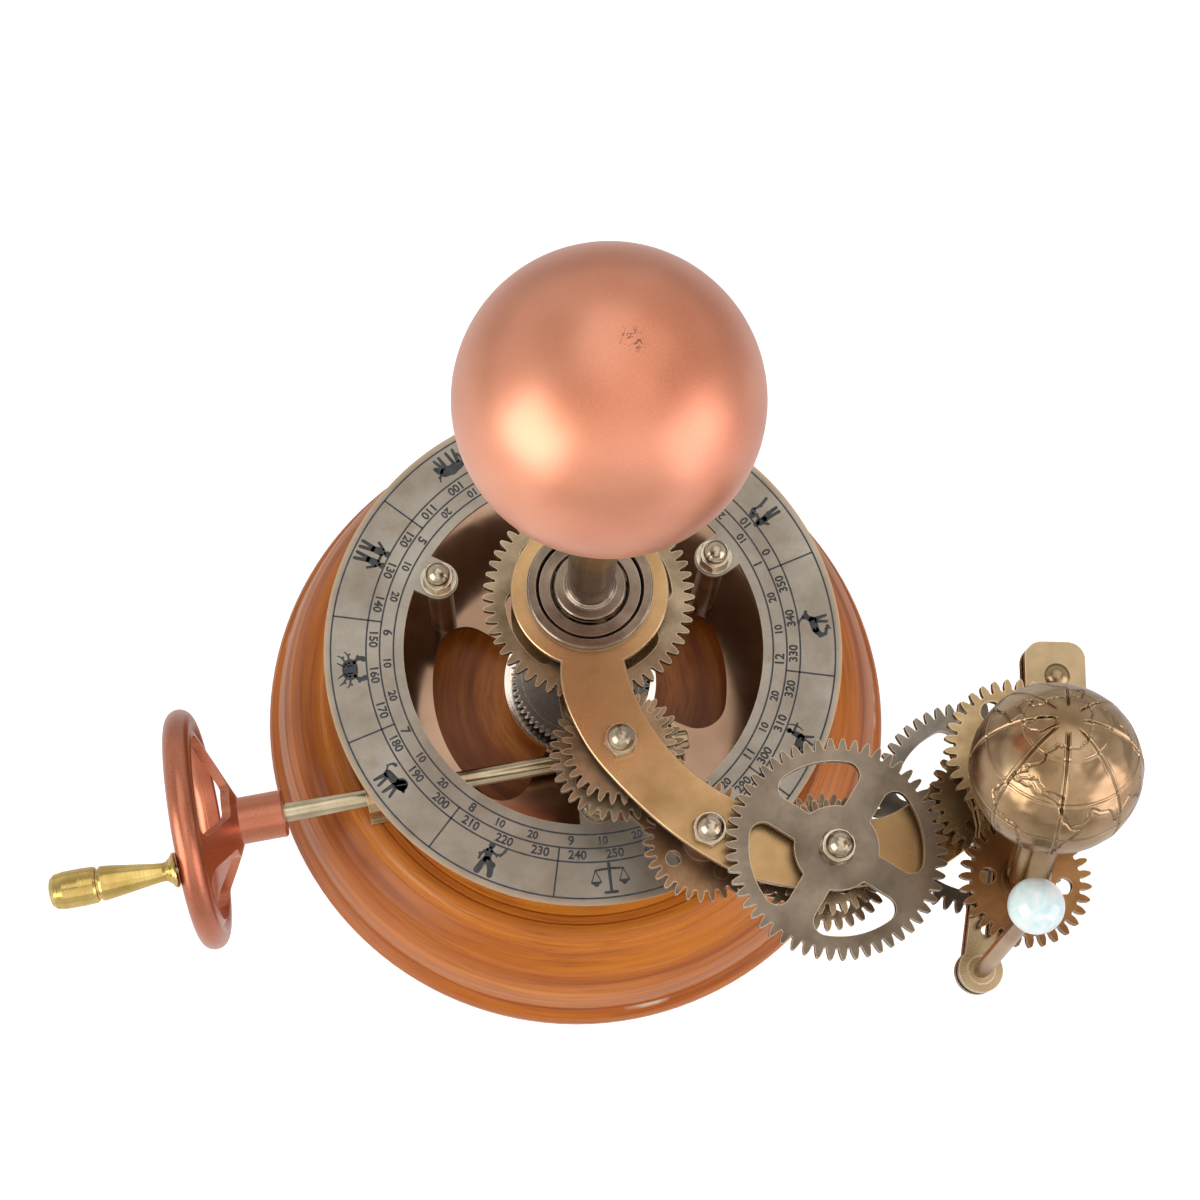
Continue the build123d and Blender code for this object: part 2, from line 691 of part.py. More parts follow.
def idler_wheel():
    holes = round_holes(4, 11.6, 2.5, 19.5)
    return axis_wheel(IDLER_TEETH, PHASE_2, AXIS_2, LEVEL_B, BOLT_BORE, 6.8, HUB_LOW, HUB_HIGH, holes)


def third_wheel():
    holes = round_holes(4, 14.2, 3.0, 10.0)
    return axis_wheel(MID_TEETH, PHASE_3B, AXIS_3, LEVEL_B, BOLT_BORE, 7.0, HUB_LOW, LEVEL_A, holes)


def third_pinion():
    """Pinion whose hub passes up through the arm to carry the top wheel."""
    holes = round_holes(4, 10.8, 2.2, -78.0)
    body = placed(wheel(SMALL_TEETH, PHASE_3A, BOLT_BORE, holes), AXIS_3, LEVEL_A, WHEEL_THICK)
    body += tube(*AXIS_3, LEVEL_A, HUB_HIGH - 3.0, 7.4, BOLT_BORE)
    body += tube(*AXIS_3, LEVEL_A, TOP_LEVEL, THIRD_HUB_R, BOLT_BORE)
    body += tube(*AXIS_3, TOP_LEVEL, TOP_LEVEL + WHEEL_THICK, THIRD_SPIGOT_R, BOLT_BORE)
    return one(body)


def top_wheel():
    """Large spoked wheel on top of the arm."""
    windows = spoke_windows(13.4, 27.6, 9.5, 47.5)
    body = placed(wheel(BIG_TEETH, PHASE_TOP, THIRD_SPIGOT_R, [windows]), AXIS_3, TOP_LEVEL, WHEEL_THICK)
    body += tube(*AXIS_3, HIGH_PLATE + PLATE_THICK + GAP, TOP_LEVEL, 9.5, THIRD_HUB_R)
    return one(body)


# carriage


def carriage_wheel():
    """Large spoked wheel under the end of the arm, fixed to the carriage arbor."""
    windows = spoke_windows(13.4, 27.6, 8.5, -4.5)
    body = placed(wheel(BIG_TEETH, PHASE_4, STUD_R, [windows]), AXIS_4, LEVEL_A, WHEEL_THICK)
    body += tube(*AXIS_4, LEVEL_A - 5.0, HIGH_PLATE - GAP, 8.0, STUD_R)
    return one(body)


def carriage_arbor():
    return one(rod(*AXIS_4, LEVEL_A - 6.0, CAGE_HIGH + CAGE_THICK + 1.5, STUD_R))


def lozenge(a, b, radius):
    """The flat outline of a bar with round ends between two points."""
    ax, ay = a
    bx, by = b
    length = math.hypot(bx - ax, by - ay)
    turn = math.degrees(math.atan2(by - ay, bx - ax))
    middle = Pos((ax + bx) / 2, (ay + by) / 2) * Rot(0, 0, turn) * Rectangle(length, 2 * radius)
    return middle + Pos(ax, ay) * Circle(radius) + Pos(bx, by) * Circle(radius)


def carriage_sketch():
    """Leg to the Moon, lobes round the two arbors and a broad square end."""
    sketch = lozenge(MOON_FOOT, AXIS_4, 5.2) + Pos(*MOON_FOOT) * Circle(6.7)
    sketch += lozenge(AXIS_4, AXIS_6, 9.0)
    sketch += lozenge(AXIS_4, AXIS_5, 9.5)
    length = 40.0
    middle = polar(*CAGE_END, -length / 2, CAGE_END_TURN)
    sketch += Pos(*middle) * Rot(0, 0, CAGE_END_TURN) * RectangleRounded(length, 19.0, 5.5)
    sketch += lozenge(AXIS_5, polar(*middle, -6.0, CAGE_END_TURN), 9.0)
    leg = math.degrees(math.atan2(AXIS_4[1] - MOON_FOOT[1], AXIS_4[0] - MOON_FOOT[0]))
    return sketch - lozenge(polar(*MOON_FOOT, 12.0, leg), polar(*MOON_FOOT, 38.0, leg), 1.3)


def carriage_plate(low, arbor_hole):
    """One of the two plates, which differ only in the hole round the arbor."""
    sketch = carriage_sketch()
    holes = ((AXIS_4, arbor_hole), (AXIS_5, LEAF_ARBOR_R + RUN), (AXIS_6, POST_FOOT_R),
             (CAGE_PIN, CAGE_PIN_R), (MOON_FOOT, BUSH_R))
    for axis, radius in holes:
        sketch -= Pos(*axis) * Circle(radius)
    return one(slab(sketch, low, CAGE_THICK))


def carriage_pillar():
    """Pillar with a domed head that joins the two plates at the broad end."""
    high = CAGE_HIGH + CAGE_THICK
    head = 4.6
    body = rod(*CAGE_PIN, CAGE_LOW, high, CAGE_PIN_R)
    body += rod(*CAGE_PIN, CAGE_LOW + CAGE_THICK, CAGE_HIGH, 4.5)
    dome = Pos(*CAGE_PIN, high - 2.2) * Sphere(head)
    body += dome & rod(*CAGE_PIN, high, high + head, head)
    return one(body)


def moon_bush():
    """Bush through both plates that holds the foot of the Moon rod."""
    high = CAGE_HIGH + CAGE_THICK
    body = tube(*MOON_FOOT, CAGE_LOW, high + 0.6, BUSH_R, MOON_ROD_R + RUN)
    body += tube(*MOON_FOOT, CAGE_LOW + CAGE_THICK, CAGE_HIGH, 5.2, MOON_ROD_R + RUN)
    return one(body)


def tilt_plane(distance):
    """A plane square to the Earth's axis at a distance from its foot."""
    tilt = math.radians(GLOBE_TILT)
    turn = math.radians(GLOBE_TURN)
    d = (math.sin(tilt) * math.cos(turn), math.sin(tilt) * math.sin(turn), math.cos(tilt))
    origin = (AXIS_6[0] + distance * d[0], AXIS_6[1] + distance * d[1], ELBOW_Z + distance * d[2])
    side = (math.cos(tilt) * math.cos(turn), math.cos(tilt) * math.sin(turn), -math.sin(tilt))
    return Plane(origin=origin, x_dir=side, z_dir=d)


def tilted(distance, length, radius):
    """A cylinder along the Earth's axis."""
    body = Cylinder(radius, length, align=(Align.CENTER, Align.CENTER, Align.MIN))
    return tilt_plane(distance).location * body


def earth_post():
    """Upright post through the last wheel, with a boss and a tilted tube for the Earth's axle."""
    body = rod(*AXIS_6, CAGE_LOW, CAGE_WHEELS + 4.6, POST_FOOT_R)
    body += rod(*AXIS_6, CAGE_WHEELS + 4.6, CAGE_WHEELS + 8.6, 5.6)
    body += tilted(5.0, TUBE_END - 5.0, TUBE_R)
    body -= tilted(10.0, TUBE_END, AXLE_R + RUN)
    return one(body)


def earth_axle():
    return one(tilted(12.0, GLOBE_REACH - 12.0, AXLE_R))


def earth_globe():
    globe = tilt_plane(GLOBE_REACH).location * Sphere(GLOBE_R)
    return one(globe - tilted(20.0, GLOBE_REACH - 20.0, AXLE_R))


def fourth_wheel():
    """Brass wheel driven by the top wheel, with a tube up into the carriage."""
    holes = round_holes(4, 10.4, 2.3, -132.0)
    bore = STUD_R + RUN
    body = placed(wheel(SMALL_TEETH, PHASE_4A, bore, holes), AXIS_4, TOP_LEVEL, WHEEL_THICK)
    body += tube(*AXIS_4, HIGH_PLATE + PLATE_THICK + GAP, TOP_LEVEL + WHEEL_THICK + 1.0, 7.0, bore)
    body += tube(*AXIS_4, TOP_LEVEL, LEAF_LEVEL, LEAF_TUBE_R, bore)
    return one(body)


def leaf_sketch(phase):
    return toothed_face(LEAF_TEETH, phase, 0.85, 1.15, LEAF_MODULE)


def fourth_pinion():
    sketch = leaf_sketch(PHASE_LEAF) - Circle(STUD_R + RUN)
    return one(placed(sketch, AXIS_4, LEAF_LEVEL, LEAF_THICK))


def fifth_arbor():
    """Leaf pinion cut on its own arbor, turning in both carriage plates."""
    body = placed(leaf_sketch(PHASE_5L), AXIS_5, LEAF_LEVEL, LEAF_THICK)
    body += rod(*AXIS_5, CAGE_LOW - 1.0, CAGE_WHEELS + WHEEL_THICK + 1.5, LEAF_ARBOR_R)
    return one(body)


def fifth_wheel():
    holes = round_holes(4, 14.2, 3.4, 111.5)
    low = CAGE_HIGH + CAGE_THICK + GAP
    high = CAGE_WHEELS + 4.0
    return axis_wheel(MID_TEETH, PHASE_5, AXIS_5, CAGE_WHEELS, LEAF_ARBOR_R, 7.0, low, high, holes)


def sixth_wheel():
    holes = round_holes(4, 11.6, 2.5, -18.5)
    low = CAGE_HIGH + CAGE_THICK + GAP
    bore = POST_FOOT_R + RUN
    return axis_wheel(IDLER_TEETH, PHASE_6, AXIS_6, CAGE_WHEELS, bore, 7.4, low, CAGE_WHEELS + 4.2, holes)


MOON_KNEE = CAGE_HIGH + CAGE_THICK + 2.4


def leaning_rod():
    """The part of the Moon rod above its knee, which ends inside the Moon."""
    start = Vector(*MOON_FOOT, MOON_KNEE)
    lean = Vector(*MOON_AT, MOON_Z) - start
    length = lean.length - MOON_R + MOON_SOCKET
    plane = Plane(origin=start, z_dir=lean.normalized())
    return plane.location * Cylinder(MOON_ROD_R, length, align=(Align.CENTER, Align.CENTER, Align.MIN))


def moon_rod():
    """Rod with an upright foot that leans in towards the Earth."""
    body = rod(*MOON_FOOT, CAGE_LOW + 0.2, MOON_KNEE, MOON_ROD_R)
    body += Pos(*MOON_FOOT, MOON_KNEE) * Sphere(MOON_ROD_R)
    return one(body + leaning_rod())


def moon_ball():
    return one(Pos(*MOON_AT, MOON_Z) * Sphere(MOON_R) - leaning_rod())


NUT_ON_TOP = TOP_LEVEL + WHEEL_THICK + 0.6
NUT_ON_ARM = HIGH_PLATE + PLATE_THICK
ARM_NUTS = [(*AXIS_1, NUT_ON_ARM, 5), (*AXIS_2, NUT_ON_ARM, 28), (*AXIS_3, NUT_ON_TOP, 3)]
PIECES = {
    "wood_base": wood_base,
    "deck_plate": deck_plate,
    "ring_posts": lambda: group(ring_post(x, y) for x, y in post_places()),
    "ring_washers": lambda: group(washer(x, y, RING_TOP) for x, y in post_places()),
    "ring_acorn_nuts": lambda: group(acorn_nut(x, y, RING_TOP + WASHER_THICK, 12) for x, y in post_places()),
    "zodiac_ring": zodiac_ring,
    "column_rod": column_rod,
    "wheel_seat": wheel_seat,
    "bearing_outer": lambda: shaft_bearing(OUTER_BEARING_X, SHELF_TOP, 6.0, OUTER_FOOT),
    "bearing_inner": lambda: shaft_bearing(INNER_BEARING_X, DECK_TOP, 7.0, INNER_FOOT),
    "sun_wheel": sun_wheel,
    "hub_inner_race": hub_inner_race,
    "sun_stem": sun_stem,
    "sun_ball": sun_ball,
    "worm_wheel": worm_wheel,
    "drive_sleeve": drive_sleeve,
    "arm_lower_plate": arm_lower_plate,
    "arm_upper_plate": arm_upper_plate,
    "arm_bolts": lambda: group(arm_bolt(axis, HIGH_PLATE, BOLT_TOP) for axis in (AXIS_1, AXIS_2)),
    "arm_end_bolt": lambda: arm_bolt(AXIS_3, NUT_ON_TOP, NUT_ON_TOP + 7.0),
    "arm_acorn_nuts": lambda: group(acorn_nut(*place) for place in ARM_NUTS),
    "hub_outer_race": hub_outer_race,
    "hub_shield": hub_shield,
    "hub_balls": hub_balls,
    "first_wheel": first_wheel,
    "first_pinion": first_pinion,
    "idler_wheel": idler_wheel,
    "third_wheel": third_wheel,
    "third_pinion": third_pinion,
    "top_wheel": top_wheel,
    "carriage_wheel": carriage_wheel,
    "carriage_arbor": carriage_arbor,
    "carriage_upper_plate": lambda: carriage_plate(CAGE_HIGH, STUD_R),
    "carriage_lower_plate": lambda: carriage_plate(CAGE_LOW, LEAF_TUBE_R + GAP),
    "carriage_pillar": carriage_pillar,
    "moon_bush": moon_bush,
    "earth_post": earth_post,
    "fourth_wheel": fourth_wheel,
    "fourth_pinion": fourth_pinion,
    "fifth_arbor": fifth_arbor,
    "fifth_wheel": fifth_wheel,
    "sixth_wheel": sixth_wheel,
    "earth_axle": earth_axle,
    "earth_globe": earth_globe,
    "moon_rod": moon_rod,
    "moon_ball": moon_ball,
    "worm": worm,
    "drive_shaft": drive_shaft,
    "hand_wheel": hand_wheel,
    "grip_pin": grip_pin,
    "crank_grip": crank_grip,
}

for name, build in PIECES.items():
    save(build(), name)
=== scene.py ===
"""Looks of the orrery: finishes of every part, the engraved dial, the embossed Earth, the Sun and the Moon.

All lengths are in metres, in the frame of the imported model: Z is up and the base stands on Z = 0.
"""
import json
import math

import bpy
import numpy as np
from mathutils import Matrix, Vector


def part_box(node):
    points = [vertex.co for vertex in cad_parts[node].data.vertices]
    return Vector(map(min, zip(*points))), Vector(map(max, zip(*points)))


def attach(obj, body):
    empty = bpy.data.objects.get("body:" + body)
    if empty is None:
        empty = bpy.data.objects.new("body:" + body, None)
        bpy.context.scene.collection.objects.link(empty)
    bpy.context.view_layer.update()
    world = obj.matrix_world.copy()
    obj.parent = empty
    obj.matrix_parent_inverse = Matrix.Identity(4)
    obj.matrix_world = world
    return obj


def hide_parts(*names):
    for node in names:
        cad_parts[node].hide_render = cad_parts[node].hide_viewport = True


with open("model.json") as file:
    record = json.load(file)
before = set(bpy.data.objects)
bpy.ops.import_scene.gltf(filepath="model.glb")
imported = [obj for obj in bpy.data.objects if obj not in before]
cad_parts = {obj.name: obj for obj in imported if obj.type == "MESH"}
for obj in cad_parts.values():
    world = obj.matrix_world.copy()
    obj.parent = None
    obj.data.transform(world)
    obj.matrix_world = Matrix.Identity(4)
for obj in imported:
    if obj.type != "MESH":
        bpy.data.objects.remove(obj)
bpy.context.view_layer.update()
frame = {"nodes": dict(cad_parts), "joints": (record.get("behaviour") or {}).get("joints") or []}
nodes = frame["nodes"]

# places and sizes of the balls and the dial, as packed
SUN_LOW, SUN_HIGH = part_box("sun_ball")
SUN_RADIUS = (SUN_HIGH.x - SUN_LOW.x) / 2
SUN_CENTRE = Vector(((SUN_LOW.x + SUN_HIGH.x) / 2, (SUN_LOW.y + SUN_HIGH.y) / 2, SUN_HIGH.z - SUN_RADIUS))
SUN_SCUFF = SUN_CENTRE + SUN_RADIUS * Vector((0.10, 0.0, 0.995)).normalized()
RING_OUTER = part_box("zodiac_ring")[1].x
RING_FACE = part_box("zodiac_ring")[1].z

# heights of the groove, darkened with painted shade, and of the worn line on the base
GROOVE_HEIGHT = 0.0168
WEAR_HEIGHT = 0.0142

# the photograph's camera: place, heading, downward pitch, roll and focal length on a 36 mm sensor
CAMERA_PLACE = Vector((-0.0554, -0.18704, 0.8849))
CAMERA_HEADING = math.radians(72.403)
CAMERA_PITCH = math.radians(74.452)
CAMERA_ROLL = math.radians(6.94)
CAMERA_LENS = 66.0

# finishes, as linear colours
COPPER_LIGHT = (0.78, 0.335, 0.205)
COPPER_DARK = (0.60, 0.20, 0.10)
ARM_LIGHT = (0.50, 0.315, 0.15)
ARM_DARK = (0.31, 0.185, 0.08)
WHEEL_LIGHT = (0.40, 0.29, 0.18)
WHEEL_DARK = (0.16, 0.105, 0.06)
AGED_LIGHT = (0.27, 0.215, 0.16)
AGED_DARK = (0.12, 0.09, 0.062)
PALE_LIGHT = (0.47, 0.34, 0.18)
PALE_DARK = (0.25, 0.165, 0.08)
BROWN_LIGHT = (0.28, 0.14, 0.055)
BROWN_DARK = (0.13, 0.055, 0.02)
STEEL_LIGHT = (0.58, 0.49, 0.36)
STEEL_DARK = (0.30, 0.24, 0.165)
# edge colours: partly wear, partly a painted highlight along the edges
EDGE_WORN_HIGHLIGHT = (0.80, 0.66, 0.46)
EDGE_STEEL_WORN_HIGHLIGHT = (0.85, 0.80, 0.72)


def centre_of(node):
    low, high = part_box(node)
    return (low + high) / 2


# node materials


class Finish:
    """A node material under construction, with short calls for its nodes."""

    def __init__(self, name, metallic=1.0, roughness=0.35):
        self.material = bpy.data.materials.new(name)
        self.material.use_nodes = True
        self.tree = self.material.node_tree
        self.shader = self.tree.nodes["Principled BSDF"]
        self.shader.inputs["Metallic"].default_value = metallic
        self.shader.inputs["Roughness"].default_value = roughness
        self.coords = self.tree.nodes.new("ShaderNodeTexCoord").outputs["Object"]

    def add(self, kind, inputs=(), **settings):
        node = self.tree.nodes.new(kind)
        for key, value in settings.items():
            setattr(node, key, value)
        for socket, value in dict(inputs).items():
            if isinstance(value, bpy.types.NodeSocket):
                self.tree.links.new(value, node.inputs[socket])
            else:
                node.inputs[socket].default_value = value
        return node

    def math(self, operation, a, b=0.0, clamp=False):
        return self.add("ShaderNodeMath", {0: a, 1: b}, operation=operation, use_clamp=clamp).outputs[0]

    def vector(self, operation, a, b):
        return self.add("ShaderNodeVectorMath", {0: a, 1: b}, operation=operation)

    def noise(self, scale, detail=3.0, vector=None, rough=0.55, distortion=0.0):
        inputs = {"Vector": vector or self.coords, "Scale": scale, "Detail": detail, "Roughness": rough,
                  "Distortion": distortion}
        return self.add("ShaderNodeTexNoise", inputs).outputs["Fac"]

    def span(self, value, low, high, to_low=0.0, to_high=1.0):
        inputs = {"Value": value, "From Min": low, "From Max": high, "To Min": to_low, "To Max": to_high}
        return self.add("ShaderNodeMapRange", inputs).outputs["Result"]

    def blend(self, factor, a, b, mode="MIX"):
        node = self.tree.nodes.new("ShaderNodeMix")
        node.data_type = "RGBA"
        node.blend_type = mode
        # sockets 6 and 7 of the Mix node are its two colours
        for socket, value in ((node.inputs[0], factor), (node.inputs[6], a), (node.inputs[7], b)):
            if isinstance(value, bpy.types.NodeSocket):
                self.tree.links.new(value, socket)
            elif isinstance(value, (tuple, list)):
                socket.default_value = (*value[:3], 1.0)
            else:
                socket.default_value = value
        return node.outputs[2]

    def ramp(self, value, stops):
        node = self.tree.nodes.new("ShaderNodeValToRGB")
        elements = node.color_ramp.elements
        while len(elements) < len(stops):
            elements.new(0.5)
        for element, (place, colour) in zip(elements, stops):
            element.position = place
            element.color = (*colour, 1.0)
        self.tree.links.new(value, node.inputs[0])
        return node.outputs[0]

    def axis_radius(self, centre, stretch=(1.0, 1.0, 0.0)):
        """Distance from an axis through a point; the stretch drops the direction along the axis."""
        moved = self.vector("SUBTRACT", self.coords, tuple(centre)).outputs[0]
        flat = self.vector("MULTIPLY", moved, stretch).outputs[0]
        return self.add("ShaderNodeVectorMath", {0: flat}, operation="LENGTH").outputs["Value"]

    def worn_edges(self, width, strength=1.0):
        """One where a face is near an edge, from the turn of a rounded normal."""
        rounded = self.add("ShaderNodeBevel", {"Radius": width}, samples=4).outputs[0]
        plain = self.add("ShaderNodeNewGeometry").outputs["Normal"]
        dot = self.vector("DOT_PRODUCT", rounded, plain).outputs["Value"]
        return self.span(dot, 0.995, 0.80, 0.0, strength)

    def colour(self, value):
        socket = self.shader.inputs["Base Color"]
        if isinstance(value, bpy.types.NodeSocket):
            self.tree.links.new(value, socket)
        else:
            socket.default_value = (*value[:3], 1.0)

    def roughness(self, value):
        self.tree.links.new(value, self.shader.inputs["Roughness"])

    def bump(self, height, distance, strength=1.0):
        node = self.add("ShaderNodeBump", {"Height": height, "Distance": distance, "Strength": strength})
        self.tree.links.new(node.outputs[0], self.shader.inputs["Normal"])


def aged_metal(name, light, dark, roughness=0.32, edge=EDGE_WORN_HIGHLIGHT, edge_width=0.0005, spots=0.25,
               patina_scale=55.0):
    """Metal with cloudy patina, fine scratches and edges brightened partly as wear and partly as a painted
    highlight.
    """
    finish = Finish(name, roughness=roughness)
    cloud = finish.noise(patina_scale, 5.0, rough=0.6)
    colour = finish.blend(finish.span(cloud, 0.34, 0.66), dark, light)
    speckle = finish.noise(patina_scale * 9, 3.0)
    colour = finish.blend(finish.span(speckle, 0.56, 0.75, 0.0, spots), colour, dark)
    if edge:
        # painted highlight, partly real wear: the colour is brightened along the edges
        colour = finish.blend(finish.worn_edges(edge_width, 0.85), colour, edge)
    finish.colour(colour)
    fine = finish.noise(2400.0, 2.0)
    finish.roughness(finish.math("ADD", finish.span(cloud, 0.3, 0.7, roughness + 0.07, roughness - 0.06),
                                 finish.span(fine, 0.3, 0.7, -0.03, 0.03)))
    finish.bump(fine, 0.00002, 0.35)
    return finish.material


def turned_metal(name, light, dark, roughness, centre, stretch, edge=EDGE_WORN_HIGHLIGHT, lines=3500.0):
    """Metal with fine lathe lines round an axis."""
    finish = Finish(name, roughness=roughness)
    radius = finish.axis_radius(centre, stretch)
    inputs = {"W": finish.math("MULTIPLY", radius, lines), "Scale": 1.0, "Detail": 2.0}
    line = finish.add("ShaderNodeTexNoise", inputs, noise_dimensions="1D").outputs["Fac"]
    cloud = finish.noise(70.0, 4.0)
    colour = finish.blend(finish.span(cloud, 0.35, 0.65), dark, light)
    colour = finish.blend(finish.span(line, 0.45, 0.75, 0.0, 0.22), colour, dark)
    if edge:
        # painted highlight, partly real wear: the colour is brightened along the edges
        colour = finish.blend(finish.worn_edges(0.0004, 0.8), colour, edge)
    finish.colour(colour)
    finish.roughness(finish.span(line, 0.3, 0.7, roughness - 0.05, roughness + 0.08))
    finish.bump(line, 0.00002, 0.3)
    return finish.material


def plain_polish(name, light, dark, roughness, lengthwise=None):
    """Polished metal with faint stains and, along a shaft, drawn streaks."""
    finish = Finish(name, roughness=roughness)
    cloud = finish.noise(45.0, 4.0)
    colour = finish.blend(finish.span(cloud, 0.35, 0.68), dark, light)
    if lengthwise:
        drawn = finish.vector("MULTIPLY", finish.coords, lengthwise).outputs[0]
        streak = finish.noise(900.0, 3.0, vector=drawn)
        colour = finish.blend(finish.span(streak, 0.45, 0.75, 0.0, 0.35), colour, dark)
        finish.roughness(finish.span(streak, 0.3, 0.7, roughness - 0.03, roughness + 0.08))
        finish.bump(streak, 0.00001, 0.25)
    finish.colour(colour)
    return finish.material


def copper_paint(name, light, dark, roughness, scuffs=False):
    """Satin copper paint with fine metallic flake."""
    finish = Finish(name, metallic=0.78, roughness=roughness)
    flake = finish.noise(5200.0, 1.0)
    cloud = finish.noise(16.0, 3.0)
    colour = finish.blend(finish.span(cloud, 0.35, 0.65), dark, light)
    colour = finish.blend(finish.span(flake, 0.58, 0.74, 0.0, 0.35), colour, (0.95, 0.62, 0.45))
    if scuffs:
        place = finish.axis_radius(SUN_SCUFF, (1.0, 1.0, 1.0))
        near = finish.span(place, 0.0018, 0.0042, 1.0, 0.0)
        mark = finish.span(finish.noise(900.0, 4.0, distortion=1.5), 0.55, 0.62)
        colour = finish.blend(finish.math("MULTIPLY", near, mark), colour, (0.16, 0.07, 0.05))
    finish.colour(colour)
    finish.roughness(finish.span(flake, 0.3, 0.7, roughness - 0.04, roughness + 0.05))
    finish.bump(flake, 0.000012, 0.4)
    finish.shader.inputs["Coat Weight"].default_value = 0.6
    finish.shader.inputs["Coat Roughness"].default_value = 0.32
    return finish.material


def turned_wood():
    """Orange-brown wood with streaks that follow the turning, painted shade along the groove and a worn line
    in the lower groove.
    """
    finish = Finish("turned_wood", metallic=0.0, roughness=0.34)
    place = finish.add("ShaderNodeSeparateXYZ", {0: finish.coords})
    x, y, z = place.outputs
    radius = finish.axis_radius((0.0, 0.0, 0.0))
    across = finish.add("ShaderNodeCombineXYZ", {
        0: finish.math("MULTIPLY", radius, 105.0), 1: finish.math("MULTIPLY", z, 105.0),
        2: finish.math("MULTIPLY", finish.math("DIVIDE", x, radius), 0.55)}).outputs[0]
    turn = finish.math("MULTIPLY", finish.math("DIVIDE", y, radius), 0.55)
    inputs = {"Vector": across, "W": turn, "Scale": 1.0, "Detail": 4.0, "Roughness": 0.62}
    broad = finish.add("ShaderNodeTexNoise", inputs, noise_dimensions="4D").outputs["Fac"]
    inputs = {"Vector": across, "W": turn, "Scale": 7.0, "Detail": 3.0, "Roughness": 0.6}
    fine = finish.add("ShaderNodeTexNoise", inputs, noise_dimensions="4D").outputs["Fac"]
    colour = finish.ramp(broad, [(0.28, (0.20, 0.040, 0.003)), (0.45, (0.40, 0.105, 0.010)),
                                 (0.58, (0.54, 0.165, 0.016)), (0.76, (0.66, 0.240, 0.030))])
    colour = finish.blend(finish.span(fine, 0.50, 0.70, 0.0, 0.55), colour, (0.23, 0.048, 0.008))
    # painted shade: the wood is darkened along the groove, where its shadow falls
    off_groove = finish.math("ABSOLUTE", finish.math("SUBTRACT", z, GROOVE_HEIGHT))
    groove = finish.span(off_groove, 0.0004, 0.0022, 0.85, 0.0)
    colour = finish.blend(groove, colour, (0.20, 0.025, 0.010))
    wear = finish.span(finish.math("ABSOLUTE", finish.math("SUBTRACT", z, WEAR_HEIGHT)), 0.0001, 0.0009)
    patch = finish.span(finish.noise(26.0, 3.0), 0.60, 0.66)
    worn = finish.math("MULTIPLY", patch, finish.math("SUBTRACT", 1.0, wear))
    colour = finish.blend(worn, colour, (0.66, 0.52, 0.40))
    finish.colour(colour)
    finish.roughness(finish.span(broad, 0.3, 0.7, 0.40, 0.27))
    finish.bump(fine, 0.00006, 0.35)
    finish.shader.inputs["Specular IOR Level"].default_value = 0.25
    finish.shader.inputs["Coat Weight"].default_value = 0.12
    finish.shader.inputs["Coat Roughness"].default_value = 0.25
    return finish.material


def dark_varnish():
    """Dark brown lacquer of the posts."""
    finish = Finish("dark_posts", metallic=0.0, roughness=0.3)
    finish.shader.inputs["Specular IOR Level"].default_value = 0.3
    cloud = finish.span(finish.noise(90.0, 4.0), 0.35, 0.7)
    finish.colour(finish.blend(cloud, (0.030, 0.010, 0.004), (0.085, 0.034, 0.014)))
    return finish.material


def silvered_dial():
    """Silvered brass of the dial ring, a little stained and scratched."""
    finish = Finish("engraved_pewter", roughness=0.38)
    cloud = finish.noise(38.0, 5.0, rough=0.62)
    colour = finish.blend(finish.span(cloud, 0.33, 0.68), (0.25, 0.21, 0.165), (0.37, 0.335, 0.28))
    stain = finish.span(finish.noise(120.0, 5.0), 0.58, 0.72, 0.0, 0.45)
    colour = finish.blend(stain, colour, (0.25, 0.18, 0.11))
    radius = finish.axis_radius((0.0, 0.0, 0.0))
    rim = finish.span(radius, RING_OUTER - 0.0016, RING_OUTER - 0.0004, 0.0, 0.6)
    colour = finish.blend(rim, colour, (0.50, 0.34, 0.20))
    # painted highlight, partly real wear: the dial's colour is brightened along its edges
    finish.colour(finish.blend(finish.worn_edges(0.0004, 0.7), colour, (0.62, 0.46, 0.30)))
    scratch = finish.noise(800.0, 2.0, distortion=2.0)
    finish.roughness(finish.span(scratch, 0.3, 0.7, 0.33, 0.46))
    finish.bump(scratch, 0.00001, 0.3)
    return finish.material


def polished_deck():
    """Mirror-bright bronze disc with faint turning lines."""
    finish = Finish("mirror_bronze", roughness=0.10)
    cloud = finish.noise(20.0, 4.0)
    finish.colour(finish.blend(finish.span(cloud, 0.35, 0.65), (0.26, 0.155, 0.10), (0.38, 0.245, 0.165)))
    finish.roughness(finish.span(finish.noise(60.0, 5.0), 0.3, 0.7, 0.07, 0.17))
    return finish.material


def pearl():
    """Milky stone of the Moon with a faint blue-green cloud."""
    finish = Finish("moon_pearl", metallic=0.0, roughness=0.22)
    cloud = finish.noise(190.0, 4.0, distortion=0.8)
    finish.colour(finish.blend(finish.span(cloud, 0.35, 0.65), (0.62, 0.85, 0.87), (0.88, 0.95, 0.95)))
    finish.shader.inputs["Coat Weight"].default_value = 0.8
    finish.shader.inputs["Coat Roughness"].default_value = 0.05
    return finish.material


def dark_enamel():
    """Black filling of the engraving."""
    finish = Finish("dial_engraving", metallic=0.0, roughness=0.5)
    cloud = finish.span(finish.noise(300.0, 3.0), 0.35, 0.7)
    finish.colour(finish.blend(cloud, (0.020, 0.022, 0.026), (0.055, 0.056, 0.060)))
    return finish.material


